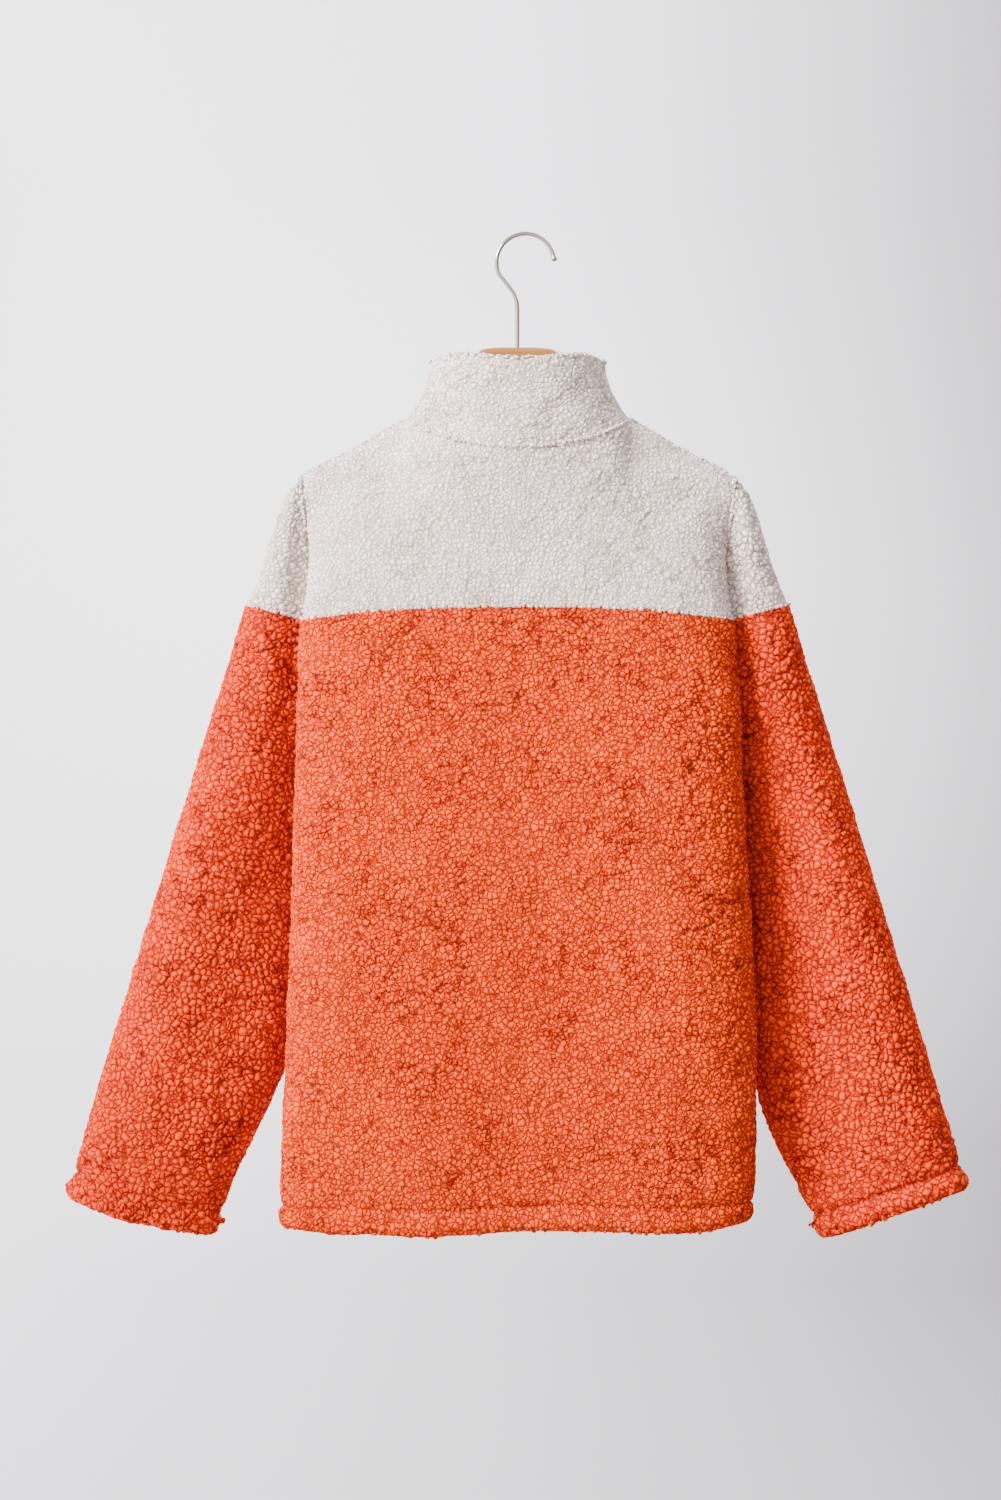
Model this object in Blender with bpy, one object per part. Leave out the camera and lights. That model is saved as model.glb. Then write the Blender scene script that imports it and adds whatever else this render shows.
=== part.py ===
"""A half-zip sherpa-fleece sweatshirt on a wooden hanger, hung up by the hanger's hook.

Frame: +Z up, the back of the garment faces -Y and its front, with the half zip, faces +Y.
The origin is the top of the hook's inside, where a rail or peg carries it. Metres.

The cloth is one skin of sections: the body is a tube with two armholes cut in it, each sleeve a
tube that starts on its armhole, and the collar a ring on the neckline. The skin is then split at
the seams into the pieces that a maker cuts, and each piece becomes a closed wall.
"""

import math

import bmesh
import bpy
import numpy as np
from mathutils import Matrix

MM = 0.001
COLLECTION = "half_zip_sweatshirt"
CUTTERS = "cutters"

# Cloth
CLOTH = 5.0  # sherpa fleece: knitted ground and curled pile
HEM_CLOTH = 8.0  # the ground turned up once inside the hem and the cuffs
SEAM_GAP = 0.3
MOST_MITRE = 1.35  # how much longer than the cloth a wall may be across a folded seam
LEAST_CLOTH = 1.2  # where the cloth is folded on itself and the pile is pressed

# Heights of the seams at the armhole, below the hook's inside
HEM_Z = -849.0
UNDERARM_Z = -445.0
YOKE_SEAM_Z = -330.0
SHOULDER_TIP_Z = -207.0
SHOULDER_TIP_X = 186.0
HEM_BAND = 20.0
HEM_GROOVE = 1.6

# Neck and collar
NECK_HALF = 97.0
NECK_SIDE_Z = -156.5
NECK_BACK = 52.0
NECK_BACK_DROP = 28.5
NECK_FRONT = 56.0
NECK_FRONT_DROP = 49.0
COLLAR_TOP_HALF = 75.5
COLLAR_TOP_SHIFT = 3.0
COLLAR_TOP_BACK = 46.0
COLLAR_TOP_FRONT = 50.0
COLLAR_TOP_Z = -105.5
COLLAR_TOP_WAVE = 3.0
COLLAR_FLARE = 1.9
COLLAR_ROWS = 6

# Columns of the body in each half of the back and front: centre, neck, side
ZIP_HALF = 6.0
NECK_COLUMNS = 7
SIDE_COLUMNS = 7
ARM_ROWS = 14
SLEEVE_ROWS = 13

# The body from the hem up: one row a section, in mm. left and right are the half widths seen from
# the back, back and front the depths, tuck how far the side seam sinks in behind the back's edge.
BODY_COLUMNS = ("z", "left", "right", "back", "front", "tuck")
BODY = (
    (-849.0, 204.0, 199.0, 50.0, 47.0, 12.0),
    (-828.0, 203.0, 202.0, 52.0, 49.0, 14.0),
    (-742.0, 200.0, 204.0, 56.0, 52.0, 20.0),
    (-656.0, 196.5, 203.0, 58.0, 53.0, 24.0),
    (-570.0, 193.0, 198.5, 58.0, 52.0, 26.0),
    (-484.0, 190.5, 193.0, 56.0, 50.0, 25.0),
    (-398.0, 187.5, 189.0, 54.0, 48.0, 21.0),
    (-330.0, 185.0, 184.5, 51.0, 47.0, 16.0),
    (-272.0, 179.0, 178.5, 52.0, 50.0, 9.0),
    (-207.0, 186.0, 186.0, 52.0, 56.0, 3.0),
)
FRONT_NARROWER = 8.0
SIDE_SEAM_Y = 3.0
# The half opening of the armhole, from the underarm to the shoulder tip
ARMHOLE_COLUMNS = ("way", "open")
ARMHOLE = ((0.0, 0.0), (0.065, 9.0), (0.14, 12.5), (0.35, 14.5), (0.7, 15.0), (1.0, 15.0))
YOKE_ARCH = 11.0
YOKE_ROW = 7  # rows from the underarm up to the yoke seam

# The crest of the shoulder, from the neck to the tip, over the hanger's arm
CREST_COLUMNS = ("x", "z")
CREST = ((97.0, -157.0), (130.0, -177.0), (150.0, -188.0), (168.0, -196.0), (188.0, -208.0))

# Soft flutes that hang from the yoke to the hem
FLUTE_PITCH = 225.0
FLUTE_AT = -85.0
FLUTE_BACK = 3.5
FLUTE_FRONT = 7.0
HEM_WAVE = 2.5

# Sleeves. The outer edge by the row down from the shoulder's tip, along the armhole.
SLEEVE_SIDES = 24
EDGE_COLUMNS = ("row", "x", "y", "z")
EDGE = (
    (0.0, 188.0, 1.0, -208.0),
    (1.0, 197.0, 1.0, -218.0),
    (2.0, 203.5, 1.0, -231.0),
    (4.0, 215.0, 1.0, -270.0),
    (6.0, 226.0, 1.0, -301.0),
    (7.0, 233.0, 2.0, -316.0),
    (10.0, 247.0, 4.0, -362.0),
    (14.0, 266.0, 8.0, -420.0),
)
# Below the armhole, one row a section: the outer and the inner edge
SLEEVE_COLUMNS = ("way", "out_x", "out_y", "out_z", "in_x", "in_y", "in_z")
SLEEVE = (
    (0.00, 266.0, 8.0, -420.0, 171.0, 3.0, -445.0),
    (0.20, 288.0, 8.0, -490.0, 180.0, 22.0, -540.0),
    (0.40, 314.0, 7.0, -574.0, 186.0, 27.0, -622.0),
    (0.60, 340.0, 7.0, -658.0, 196.0, 25.0, -704.0),
    (0.80, 366.0, 8.0, -742.0, 222.0, 21.0, -785.0),
    (0.90, 378.0, 9.0, -780.0, 244.0, 19.0, -820.0),
    (1.00, 389.0, 10.0, -816.0, 260.0, 17.0, -855.0),
)
# How deep the section is behind and in front of the line between its edges, by the length of the
# sleeve from the shoulder's tip, and the share of that depth near the inner edge and half way
DEPTH_COLUMNS = ("way", "back", "front", "near", "near_front", "half")
DEPTH = (
    (0.000, 3.0, 3.0, 0.50, 0.50, 0.90),
    (0.026, 4.5, 4.5, 0.40, 0.40, 0.95),
    (0.052, 6.5, 7.0, 0.42, 0.42, 0.95),
    (0.105, 12.0, 14.0, 0.30, 0.45, 0.95),
    (0.200, 20.0, 26.0, 0.22, 0.50, 0.85),
    (0.380, 26.0, 34.0, 0.12, 0.58, 0.80),
    (0.500, 33.0, 35.0, 0.45, 0.70, 0.86),
    (0.650, 34.0, 35.0, 0.70, 0.75, 0.88),
    (0.850, 31.0, 31.0, 0.72, 0.72, 0.94),
    (1.000, 25.0, 25.0, 0.72, 0.72, 1.00),
)
SHOULDER_ROUND = 15.0
# From the outside of the cloth to its inside, at the two ends of the armhole
TIP_STEP = (-1.0, 0.0, -2.6)
UNDERARM_STEP = (-0.3, 0.0, 3.0)

# Zip, closed, from the collar's top to the yoke seam. Depths are from the cloth's outside.
TAPE_THICK = 0.8
TAPE_REACH = 15.0
TAPE_BELOW_SEAM = 0.5
TAPE_BELOW_TOP = 0.25
CHAIN_HALF = 2.8
CHAIN_DEPTH = 4.5
CHAIN_THICK = 2.4
SLIDER_BELOW_TOP = 17.0
SLIDER_WIDE = 8.5
SLIDER_TALL = 11.0
PLATE_THICK = 1.2
POST_WIDE = 4.0
POST_TALL = 3.5
BAIL_WIDE = 1.8
BAIL_TALL = 5.6
BAIL_HIGH = 3.1
BAIL_WIRE = 1.0
TAB_LENGTH = 26.0
TAB_WIDE = 7.0
TAB_THICK = 1.2
EYE_WIDE = 2.8
EYE_TALL = 5.0

# Hanger
HOOK_WIRE = 3.6
HOOK_BEND = 24.9
HOOK_CENTRE = (6.9, -22.0)
HOOK_KNOB = 5.2
HOOK_FOOT = ((-8.6, -41.0), (-3.4, -48.2), (-0.6, -55.7), (0.0, -64.0))
STEM_FOOT_Z = -108.0
WOOD_THICK = 11.0
WOOD_ROUND = 4.2
# Half outlines of the wood, from the middle outwards and from the tip back in
WOOD_TOP = (
    (0.0, -94.6),
    (24.0, -95.4),
    (35.0, -99.0),
    (48.0, -110.0),
    (60.0, -127.0),
    (72.0, -147.0),
    (84.0, -162.0),
    (97.0, -167.0),
)
ARM_PLACES = (112.0, 128.0, 144.0, 156.0, 166.0)
ARM_UNDER_CREST = 7.8
WOOD_UNDER = ((170.0, -213.0), (164.0, -221.0), (150.0, -216.0), (120.0, -203.0), (88.0, -186.0),
              (60.0, -168.0), (36.0, -153.0), (16.0, -145.5), (0.0, -143.5))

# Finishes: colour, roughness, metal
CREAM = ((0.86, 0.82, 0.78, 1.0), 0.95, 0.0)
ORANGE = ((0.86, 0.27, 0.12, 1.0), 0.95, 0.0)
WOVEN = ((0.80, 0.77, 0.72, 1.0), 0.8, 0.0)
ZIP_METAL = ((0.62, 0.60, 0.57, 1.0), 0.35, 1.0)
WOOD = ((0.55, 0.30, 0.14, 1.0), 0.45, 0.0)
WIRE = ((0.66, 0.60, 0.50, 1.0), 0.3, 1.0)


def finish(name, look):
    """A piece's own material, from its colour, roughness and metal."""
    colour, roughness, metallic = look
    made = bpy.data.materials.new(name)
    made.use_nodes = True
    shader = made.node_tree.nodes["Principled BSDF"]
    shader.inputs["Base Color"].default_value = colour
    shader.inputs["Roughness"].default_value = roughness
    shader.inputs["Metallic"].default_value = metallic
    made.diffuse_color = colour
    return made


def smooth_at(places, values, at):
    """A smooth curve through (place, value) pairs, read at one place."""
    places = np.asarray(places, float)
    values = np.asarray(values, float)
    if places[0] > places[-1]:
        places, values = places[::-1], values[::-1]
    at = min(max(at, places[0]), places[-1])
    i = min(int(np.searchsorted(places, at, side="right")) - 1, len(places) - 2)
    span = places[i + 1] - places[i]
    t = (at - places[i]) / span

    def slope(k):
        low, high = max(k - 1, 0), min(k + 1, len(places) - 1)
        return (values[high] - values[low]) / (places[high] - places[low])

    return (
        (2 * t**3 - 3 * t**2 + 1) * values[i]
        + (t**3 - 2 * t**2 + t) * span * slope(i)
        + (3 * t**2 - 2 * t**3) * values[i + 1]
        + (t**3 - t**2) * span * slope(i + 1)
    )


def column(table, names, name, at):
    """A table's column, read at a place along its first column."""
    k = names.index(name)
    return smooth_at([row[0] for row in table], [row[k] for row in table], at)


def through(points, steps=12):
    """A smooth line through points, with so many steps between each two."""
    points = [np.asarray(p, float) for p in points]
    line = []
    for i in range(len(points) - 1):
        a, b = points[i], points[i + 1]
        before = points[i - 1] if i else 2 * a - b
        after = points[i + 2] if i + 2 < len(points) else 2 * b - a
        for s in range(steps):
            t = s / steps
            line.append(
                0.5
                * (
                    2 * a
                    + (b - before) * t
                    + (2 * before - 5 * a + 4 * b - after) * t**2
                    + (3 * a - before - 3 * b + after) * t**3
                )
            )
    line.append(points[-1])
    return np.array(line)


def spread(line, count, turning=0.0):
    """count + 1 points along a line, even in length plus so many mm for each radian of turning."""
    steps = np.diff(line, axis=0)
    length = np.linalg.norm(steps, axis=1)
    heading = np.unwrap(np.arctan2(steps[:, 1], steps[:, 0]))
    turn = np.abs(np.diff(heading, prepend=heading[0]))
    along = np.concatenate([[0.0], np.cumsum(length + turning * turn)])
    at = np.linspace(0.0, along[-1], count + 1)
    return np.stack([np.interp(at, along, line[:, k]) for k in range(2)], axis=1)


def cut_at(line, value, axis, first=True):
    """The line up to where its coordinate on axis reaches value, or from there on."""
    over = np.nonzero(line[:, axis] >= value)[0]
    i = int(over[0])
    a, b = line[i - 1], line[i]
    point = a + (b - a) * (value - a[axis]) / (b[axis] - a[axis])
    if first:
        return np.vstack([line[:i], point])
    return np.vstack([point, line[i:]])


def half_section(z, side, opening):
    """One side of the body's section at a height: the back and front lines, centre to side."""
    wide, back, front, tuck = (
        column(BODY, BODY_COLUMNS, name, z)
        for name in ("right" if side > 0 else "left", "back", "front", "tuck")
    )
    narrow = wide - FRONT_NARROWER
    seam = (wide - tuck, SIDE_SEAM_Y)
    behind = through(
        (
            (0.0, -back),
            (0.40 * wide, -back),
            (0.74 * wide, -0.95 * back),
            (0.92 * wide, -0.78 * back),
            (0.995 * wide, -0.48 * back),
            (wide - 0.4 * tuck, -0.18 * back),
            seam,
        )
    )
    before = through(
        (
            seam,
            (narrow - 0.72 * tuck, 0.42 * front),
            (0.91 * narrow - 0.3 * tuck, 0.76 * front),
            (0.74 * narrow, 0.95 * front),
            (0.40 * narrow, front),
            (0.0, front),
        )
    )
    if opening > 0:
        behind = cut_at(behind, SIDE_SEAM_Y - opening, axis=1)
        before = cut_at(before, SIDE_SEAM_Y + opening, axis=1, first=False)
    return behind, before[::-1]


def columns_of(line, middle, count):
    """The half section's points: to the zip's edge or centre, to the neck's edge, to the side."""
    x = line[:, 0]
    neck = NECK_HALF * min(1.0, x.max() / 186.0)
    split = int(np.nonzero(x >= neck)[0][0])
    a, b = line[split - 1], line[split]
    at_neck = a + (b - a) * (neck - a[0]) / (b[0] - a[0])
    inner = np.vstack([line[:split], at_neck])
    outer = np.vstack([at_neck, line[split:]])
    if not middle:
        near = spread(inner, NECK_COLUMNS)
    else:
        edge = int(np.nonzero(inner[:, 0] >= ZIP_HALF)[0][0])
        a, b = inner[edge - 1], inner[edge]
        at_zip = a + (b - a) * (ZIP_HALF - a[0]) / (b[0] - a[0])
        rest = spread(np.vstack([at_zip, inner[edge:]]), NECK_COLUMNS - 1)
        near = np.vstack([inner[:1], rest])
    return np.vstack([near[:-1], spread(outer, count, turning=26.0)])


def neckline(x, front):
    """The neck seam's depth and height at a distance from the centre."""
    across = math.sqrt(max(0.0, 1.0 - (x / NECK_HALF) ** 2))
    deep, drop = (NECK_FRONT, NECK_FRONT_DROP) if front else (NECK_BACK, NECK_BACK_DROP)
    return deep * across, NECK_SIDE_Z - drop * across**1.5


def top_line(x, front):
    """Depth and height of the body's top edge: the neckline, then the shoulder's crest."""
    x = abs(x)
    if x < NECK_HALF - 1e-6:
        return neckline(x, front)
    return 0.0, column(CREST, CREST_COLUMNS, "z", x)


def lift_at(x, wide):
    return YOKE_ARCH * (1.0 - min(1.0, abs(x) / wide) ** 2.5)


def flutes(x, z, wide, front):
    """How far the flutes stand out: none at the yoke seam, most at the hem."""
    grow = min(1.0, max(0.0, (YOKE_SEAM_Z - z) / (YOKE_SEAM_Z - HEM_Z))) ** 0.8
    size = FLUTE_FRONT if front else FLUTE_BACK
    edge = max(0.0, 1.0 - (abs(x) / (0.86 * wide)) ** 6)
    return size * grow * edge * math.cos(2 * math.pi * (x - FLUTE_AT) / FLUTE_PITCH)


def crest_places(front):
    """Where each column meets the top edge: evenly round the neck, evenly along the shoulder."""
    start = ZIP_HALF if front else 0.0
    steps = NECK_COLUMNS - 1 if front else NECK_COLUMNS
    round_neck = [
        start + (NECK_HALF - start) * math.sin(math.pi / 2 * k / steps) for k in range(steps + 1)
    ]
    shoulder = [
        NECK_HALF + (SHOULDER_TIP_X - NECK_HALF) * k / SIDE_COLUMNS
        for k in range(1, SIDE_COLUMNS + 1)
    ]
    return ([0.0] if front else []) + round_neck + shoulder


def body_point(x, y, z_edge, wide, front):
    """A point of the flat section, lifted to its row and drawn in to the shoulder at the top."""
    rise = min(1.0, max(0.0, (z_edge - UNDERARM_Z) / (YOKE_SEAM_Z - UNDERARM_Z)))
    z = z_edge + lift_at(x, wide) * rise * (3 - 2 * rise) * rise
    depth = abs(y)
    if z_edge > YOKE_SEAM_Z:
        up = (z_edge - YOKE_SEAM_Z) / (SHOULDER_TIP_Z - YOKE_SEAM_Z)
        top_depth, top_z = top_line(x, front)
        seam_z = YOKE_SEAM_Z + lift_at(x, wide)
        z = seam_z + (top_z - seam_z) * up
        below = min(top_z - z, SHOULDER_ROUND)
        over = math.sqrt(max(0.0, SHOULDER_ROUND**2 - (SHOULDER_ROUND - below) ** 2))
        full = (1.0 - up**1.6) ** 0.65
        depth = max(top_depth + (depth - top_depth) * full, min(depth, over))
        y = math.copysign(depth, y)
    stand_out = flutes(x, z, wide, front)
    y += stand_out if front else -stand_out
    if z_edge < YOKE_SEAM_Z:
        low = (YOKE_SEAM_Z - z_edge) / (YOKE_SEAM_Z - HEM_Z)
        z -= HEM_WAVE * low**4 * math.cos(2 * math.pi * (x - FLUTE_AT) / FLUTE_PITCH)
    return np.array([x, y, z])


def arm_height(k):
    """The armhole's height at a row from the underarm, closer together at the shoulder."""
    if k <= YOKE_ROW:
        return UNDERARM_Z + (YOKE_SEAM_Z - UNDERARM_Z) * k / YOKE_ROW
    way = (k - YOKE_ROW) / (ARM_ROWS - YOKE_ROW)
    return YOKE_SEAM_Z + (SHOULDER_TIP_Z - YOKE_SEAM_Z) * (1 - (1 - way) ** 1.9)


def body_heights():
    band = [HEM_Z, HEM_Z + 5, HEM_Z + 13, HEM_Z + HEM_BAND, HEM_Z + HEM_BAND + 6]
    count = 11
    first = band[-1]
    below = [first + (UNDERARM_Z - first) * k / count for k in range(1, count + 1)]
    return band + below + [arm_height(k) for k in range(1, ARM_ROWS + 1)]


def band_shape(way):
    """How far the cloth stands out near a hem, by the distance from its edge."""
    places = (0.0, 5.0, 13.0, 20.0, 26.0, 34.0)
    heights = (-1.2, 0.8, 1.0, -HEM_GROOVE, 0.2, 0.0)
    return float(np.interp(way, places, heights))


def body_side(front):
    """Rows of points over the whole back or front, from the left side to the right."""
    rows = []
    for z in body_heights():
        arm = (z - UNDERARM_Z) / (SHOULDER_TIP_Z - UNDERARM_Z)
        opening = column(ARMHOLE, ARMHOLE_COLUMNS, "open", arm) if arm > 1e-6 else 0.0
        halves = []
        for side in (-1, 1):
            line = half_section(z, side, opening)[1 if front else 0]
            wide = float(line[:, 0].max())
            flat = columns_of(line, middle=front, count=SIDE_COLUMNS)
            up = max(0.0, (z - YOKE_SEAM_Z) / (SHOULDER_TIP_Z - YOKE_SEAM_Z))
            flat[:, 0] += (np.array(crest_places(front)) - flat[:, 0]) * up**2
            halves.append([body_point(side * x, y, z, wide, front) for x, y in flat])
        rows.append(halves[0][::-1] + halves[1][1:])
    return np.array(rows)


def sleeve_row(way, out, behind, before, closed=False):
    """A section from its back inner edge round the outer edge to its front inner edge."""
    at = {n: column(DEPTH, DEPTH_COLUMNS, n, way) for n in DEPTH_COLUMNS[1:]}
    middle = (behind + before) / 2
    flat = np.array([out[0] - middle[0], out[1] - middle[1]])
    flat /= np.linalg.norm(flat)
    back = np.array([flat[1], -flat[0], 0.0])

    def half(inner, deep, near):
        shares = (
            (0.0, 0.0),
            (0.05, 0.55 * near),
            (0.17, near),
            (0.45, at["half"]),
            (0.75, 0.95),
            (0.94, 0.6),
        )
        return [inner + (out - inner) * share + back * deep * size for share, size in shares]

    rear = half(behind, at["back"], at["near"])
    fore = half(before, -at["front"], at["near_front"])
    points = rear + [out] + fore[::-1]
    if closed:
        line = through([fore[1]] + points + [rear[1]])[12:-12]
    else:
        line = through(points)
    along = np.concatenate([[0.0], np.cumsum(np.linalg.norm(np.diff(line, axis=0), axis=1))])
    places = np.linspace(0.0, along[-1], SLEEVE_SIDES + 1)
    row = np.stack([np.interp(places, along, line[:, k]) for k in range(3)], axis=1)
    row[0], row[-1] = behind, before
    return row


def sleeve_rows(back, front, side):
    """The sleeve's sections from the shoulder's tip to the cuff, built on the +X side.

    Down to the underarm each section runs from the armhole's back to its front. From there on
    the section is closed, and its first and last points are one.
    """
    edge = -1 if side > 0 else 0
    last = len(back) - 1
    mirror = np.array([side, 1, 1])
    rows = []
    long = ARM_ROWS / (ARM_ROWS + 24)
    for k in range(ARM_ROWS + 1):
        behind, before = back[last - k][edge] * mirror, front[last - k][edge] * mirror
        if k == 0:
            rows.append([behind] * (SLEEVE_SIDES + 1))
            continue
        out = np.array([column(EDGE, EDGE_COLUMNS, name, k) for name in EDGE_COLUMNS[1:]])
        rows.append(sleeve_row(long * k / ARM_ROWS, out, behind, before))
    length = 430.0
    band = [1 - d / length for d in (HEM_BAND + 6, HEM_BAND, 13.0, 5.0, 0.0)]
    plain = [band[0] * k / SLEEVE_ROWS for k in range(1, SLEEVE_ROWS)]
    underarm = back[last - ARM_ROWS][edge] * mirror
    for way in plain + band:
        at = {n: column(SLEEVE, SLEEVE_COLUMNS, n, way) for n in SLEEVE_COLUMNS[1:]}
        out = np.array([at["out_x"], at["out_y"], at["out_z"]])
        inner = np.array([at["in_x"], at["in_y"], at["in_z"]])
        ease = max(0.0, 1 - way / 0.2)
        inner += (underarm - inner_start()) * ease
        rows.append(sleeve_row(long + (1 - long) * way, out, inner, inner, closed=True))
    rows = np.array(rows)
    rows[..., 0] *= side
    return rows


def inner_start():
    return np.array(SLEEVE[0][4:7])


def collar_rows(back, front):
    """Rows of the collar from the neckline up, from the zip's right edge round the back."""
    middle = (back.shape[1] - 1) // 2
    near = range(middle - NECK_COLUMNS, middle + NECK_COLUMNS + 1)
    behind = [back[-1][c] for c in near]
    right = [front[-1][c] for c in range(middle + 1, middle + NECK_COLUMNS)]
    left = [front[-1][c] for c in range(middle - NECK_COLUMNS + 1, middle)]
    base = np.array(right + behind[::-1] + left)
    rows = [base]
    for k in range(1, COLLAR_ROWS + 1):
        up = k / COLLAR_ROWS
        ease = 1 - (1 - up) ** COLLAR_FLARE
        row = []
        for x, y, z in base:
            across = math.atan2(abs(y) / (NECK_BACK if y < 0 else NECK_FRONT), x / NECK_HALF)
            deep = -COLLAR_TOP_BACK if y < 0 else COLLAR_TOP_FRONT
            half = COLLAR_TOP_HALF
            top_x = half * math.cos(across) + COLLAR_TOP_SHIFT * math.sin(across) ** 2
            if abs(x) < ZIP_HALF + 0.5:
                top_x = x
            wave = math.cos(4 * (across - math.pi / 2))
            top_z = COLLAR_TOP_Z - COLLAR_TOP_WAVE * (wave if y < 0 else 1.0)
            top = np.array([top_x, deep * math.sin(across), top_z])
            point = np.array([x, y, z]) + (top - np.array([x, y, z])) * ease
            point[2] = z + (top_z - z) * up
            row.append(point)
        rows.append(row)
    return np.array(rows)


class Skin:
    """All pieces' grids, with the normals averaged over the seams that they share."""

    def __init__(self):
        self.normals = {}
        self.fixed = {}
        self.cloud = None

    @staticmethod
    def key(point):
        return tuple(np.round(point, 2))

    def add(self, grid, flip):
        rows, count = grid.shape[:2]
        for r in range(rows - 1):
            for c in range(count - 1):
                d = c + 1
                corners = [grid[r][c], grid[r][d], grid[r + 1][d], grid[r + 1][c]]
                normal = np.cross(corners[2] - corners[0], corners[3] - corners[1])
                length = np.linalg.norm(normal)
                if length < 1e-9:
                    continue
                normal = normal / length * (-1 if flip else 1)
                for p in corners:
                    self.normals.setdefault(self.key(p), []).append(normal)

    def inward(self, point, thick):
        """The step from a point of the outside to the inside of the cloth.

        It is the cloth's thickness, longer across a folded seam, and shorter where the ball that
        rests on the inside at this point meets another part of the skin.
        """
        if self.key(point) in self.fixed:
            return self.fixed[self.key(point)]
        if self.cloud is None:
            self.cloud = np.array(list(self.normals))
        normals = self.normals[self.key(point)]
        normal = np.sum(normals, axis=0)
        normal /= np.linalg.norm(normal)
        lean = float(np.mean([max(0.2, float(normal @ n)) for n in normals]))
        away = self.cloud - point
        deep = -(away @ normal)
        near = deep > 0.05
        ball = (away[near] ** 2).sum(axis=1) / (2 * deep[near])
        room = float(ball.min()) if len(ball) else 1e9
        size = min(thick * min(MOST_MITRE, 1 / lean), 0.9 * room)
        return -normal * max(size, LEAST_CLOTH)


def edge_shift(edge, inner, step, closed=False):
    """Half a seam's gap, away from the seam and along the cloth."""
    if closed:
        along = np.roll(edge, -1, axis=0) - np.roll(edge, 1, axis=0)
    else:
        along = np.gradient(edge, axis=0)
    along /= np.linalg.norm(along, axis=-1, keepdims=True)
    into = inner - edge
    into -= (into * along).sum(-1, keepdims=True) * along
    into /= np.linalg.norm(into, axis=-1, keepdims=True)
    across = np.cross(along, step)
    across /= np.linalg.norm(across, axis=-1, keepdims=True)
    square = np.abs((into * across).sum(-1, keepdims=True))
    return into * SEAM_GAP / 2 / np.maximum(square, 0.5)


def drawn_in(grid, step, slit, pole):
    """The grid with its seamed edges moved half a seam's gap inwards along the cloth."""
    moved = grid.copy()
    first = 1 if pole else 0
    if pole:
        ahead = grid[1][grid.shape[1] // 2] - grid[0][0]
        moved[0] += ahead / np.linalg.norm(ahead) * SEAM_GAP / 2
    else:
        moved[0] += edge_shift(grid[0], grid[1], step[0])
    whole = slit < len(grid)
    if whole:
        ring = edge_shift(grid[-1][:-1], grid[-2][:-1], step[-1][:-1], closed=True)
        moved[-1] += np.vstack([ring, ring[:1]])
    else:
        moved[-1] += edge_shift(grid[-1], grid[-2], step[-1])
    rows = slice(first, slit)
    if slit - first > 1:
        left = edge_shift(grid[rows, 0], grid[rows, 1], step[rows, 0])
        right = edge_shift(grid[rows, -1], grid[rows, -2], step[rows, -1])
        if whole:
            left[-1] = right[-1] = (0, 0, 0)
            down = grid[slit][0] - grid[slit - 1][0]
            moved[slit - 1, [0, -1]] += down / np.linalg.norm(down) * SEAM_GAP / 2
        moved[rows, 0] += left
        moved[rows, -1] += right
    return moved


def wall(name, grid, skin, flip, look, thick=None, relief=None, slit=None, pole=False):
    """A closed wall: the grid is its outside, and its inside lies a cloth's thickness within.

    A grid with a slit is a tube from that row on, and one with a pole starts from one point.
    """
    rows, count = grid.shape[:2]
    slit = rows if slit is None else slit
    thick = [CLOTH] * rows if thick is None else thick
    relief = np.zeros(rows) if relief is None else np.asarray(relief)
    step = np.array([[skin.inward(p, thick[r]) for p in grid[r]] for r in range(rows)])
    flat = drawn_in(grid, step, slit, pole)
    inside = flat + step
    outside = flat - step / CLOTH * relief[:, None, None]
    bm = bmesh.new()

    def corners_of(points):
        made = [[bm.verts.new(p * MM) for p in row] for row in points]
        for r, row in enumerate(made):
            if pole and r == 0:
                spare, kept = row[1:], [row[0]] * count
            elif slit < rows and r >= slit - 1 > 0:
                spare, kept = row[-1:], row[:-1] + row[:1]
            else:
                continue
            for vert in spare:
                bm.verts.remove(vert)
            made[r] = kept
        return made

    outer, inner = corners_of(outside), corners_of(inside)

    def face(*corners):
        corners = list(dict.fromkeys(corners[::-1] if flip else corners))
        if len(corners) > 2:
            bm.faces.new(corners)

    def rim(at, to, turned):
        """A seam's edge in two triangles, cut the same way on both sides of the seam."""
        near, far, near_in, far_in = (v[i][j] for v in (outer, inner) for i, j in (at, to))
        if skin.key(grid[at]) < skin.key(grid[to]):
            cut = ((near, far_in, near_in), (near, far, far_in))
        else:
            cut = ((near, far, near_in), (far, far_in, near_in))
        for corners in cut:
            face(*(corners[::-1] if turned else corners))

    for r in range(rows - 1):
        for c in range(count - 1):
            d = c + 1
            face(outer[r][c], outer[r][d], outer[r + 1][d], outer[r + 1][c])
            face(inner[r][c], inner[r + 1][c], inner[r + 1][d], inner[r][d])
    for c in range(count - 1):
        if not pole:
            rim((0, c), (0, c + 1), True)
        rim((rows - 1, c), (rows - 1, c + 1), False)
    for r in range(min(slit, rows) - 1):
        rim((r, 0), (r + 1, 0), False)
        rim((r, count - 1), (r + 1, count - 1), True)
    mesh = bpy.data.meshes.new(name)
    bm.to_mesh(mesh)
    bm.free()
    mesh.shade_smooth()
    mesh.set_sharp_from_angle(angle=math.radians(50))
    return placed(name, mesh, look)


def placed(name, mesh, look):
    """A mesh as an object of the model, with its own material."""
    made = bpy.data.objects.new(name, mesh)
    made.data.materials.append(finish(name, look))
    bpy.data.collections[COLLECTION].objects.link(made)
    return made


def split_row(rows_z, z):
    return int(np.argmin(np.abs(np.array(rows_z) - z)))


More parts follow.
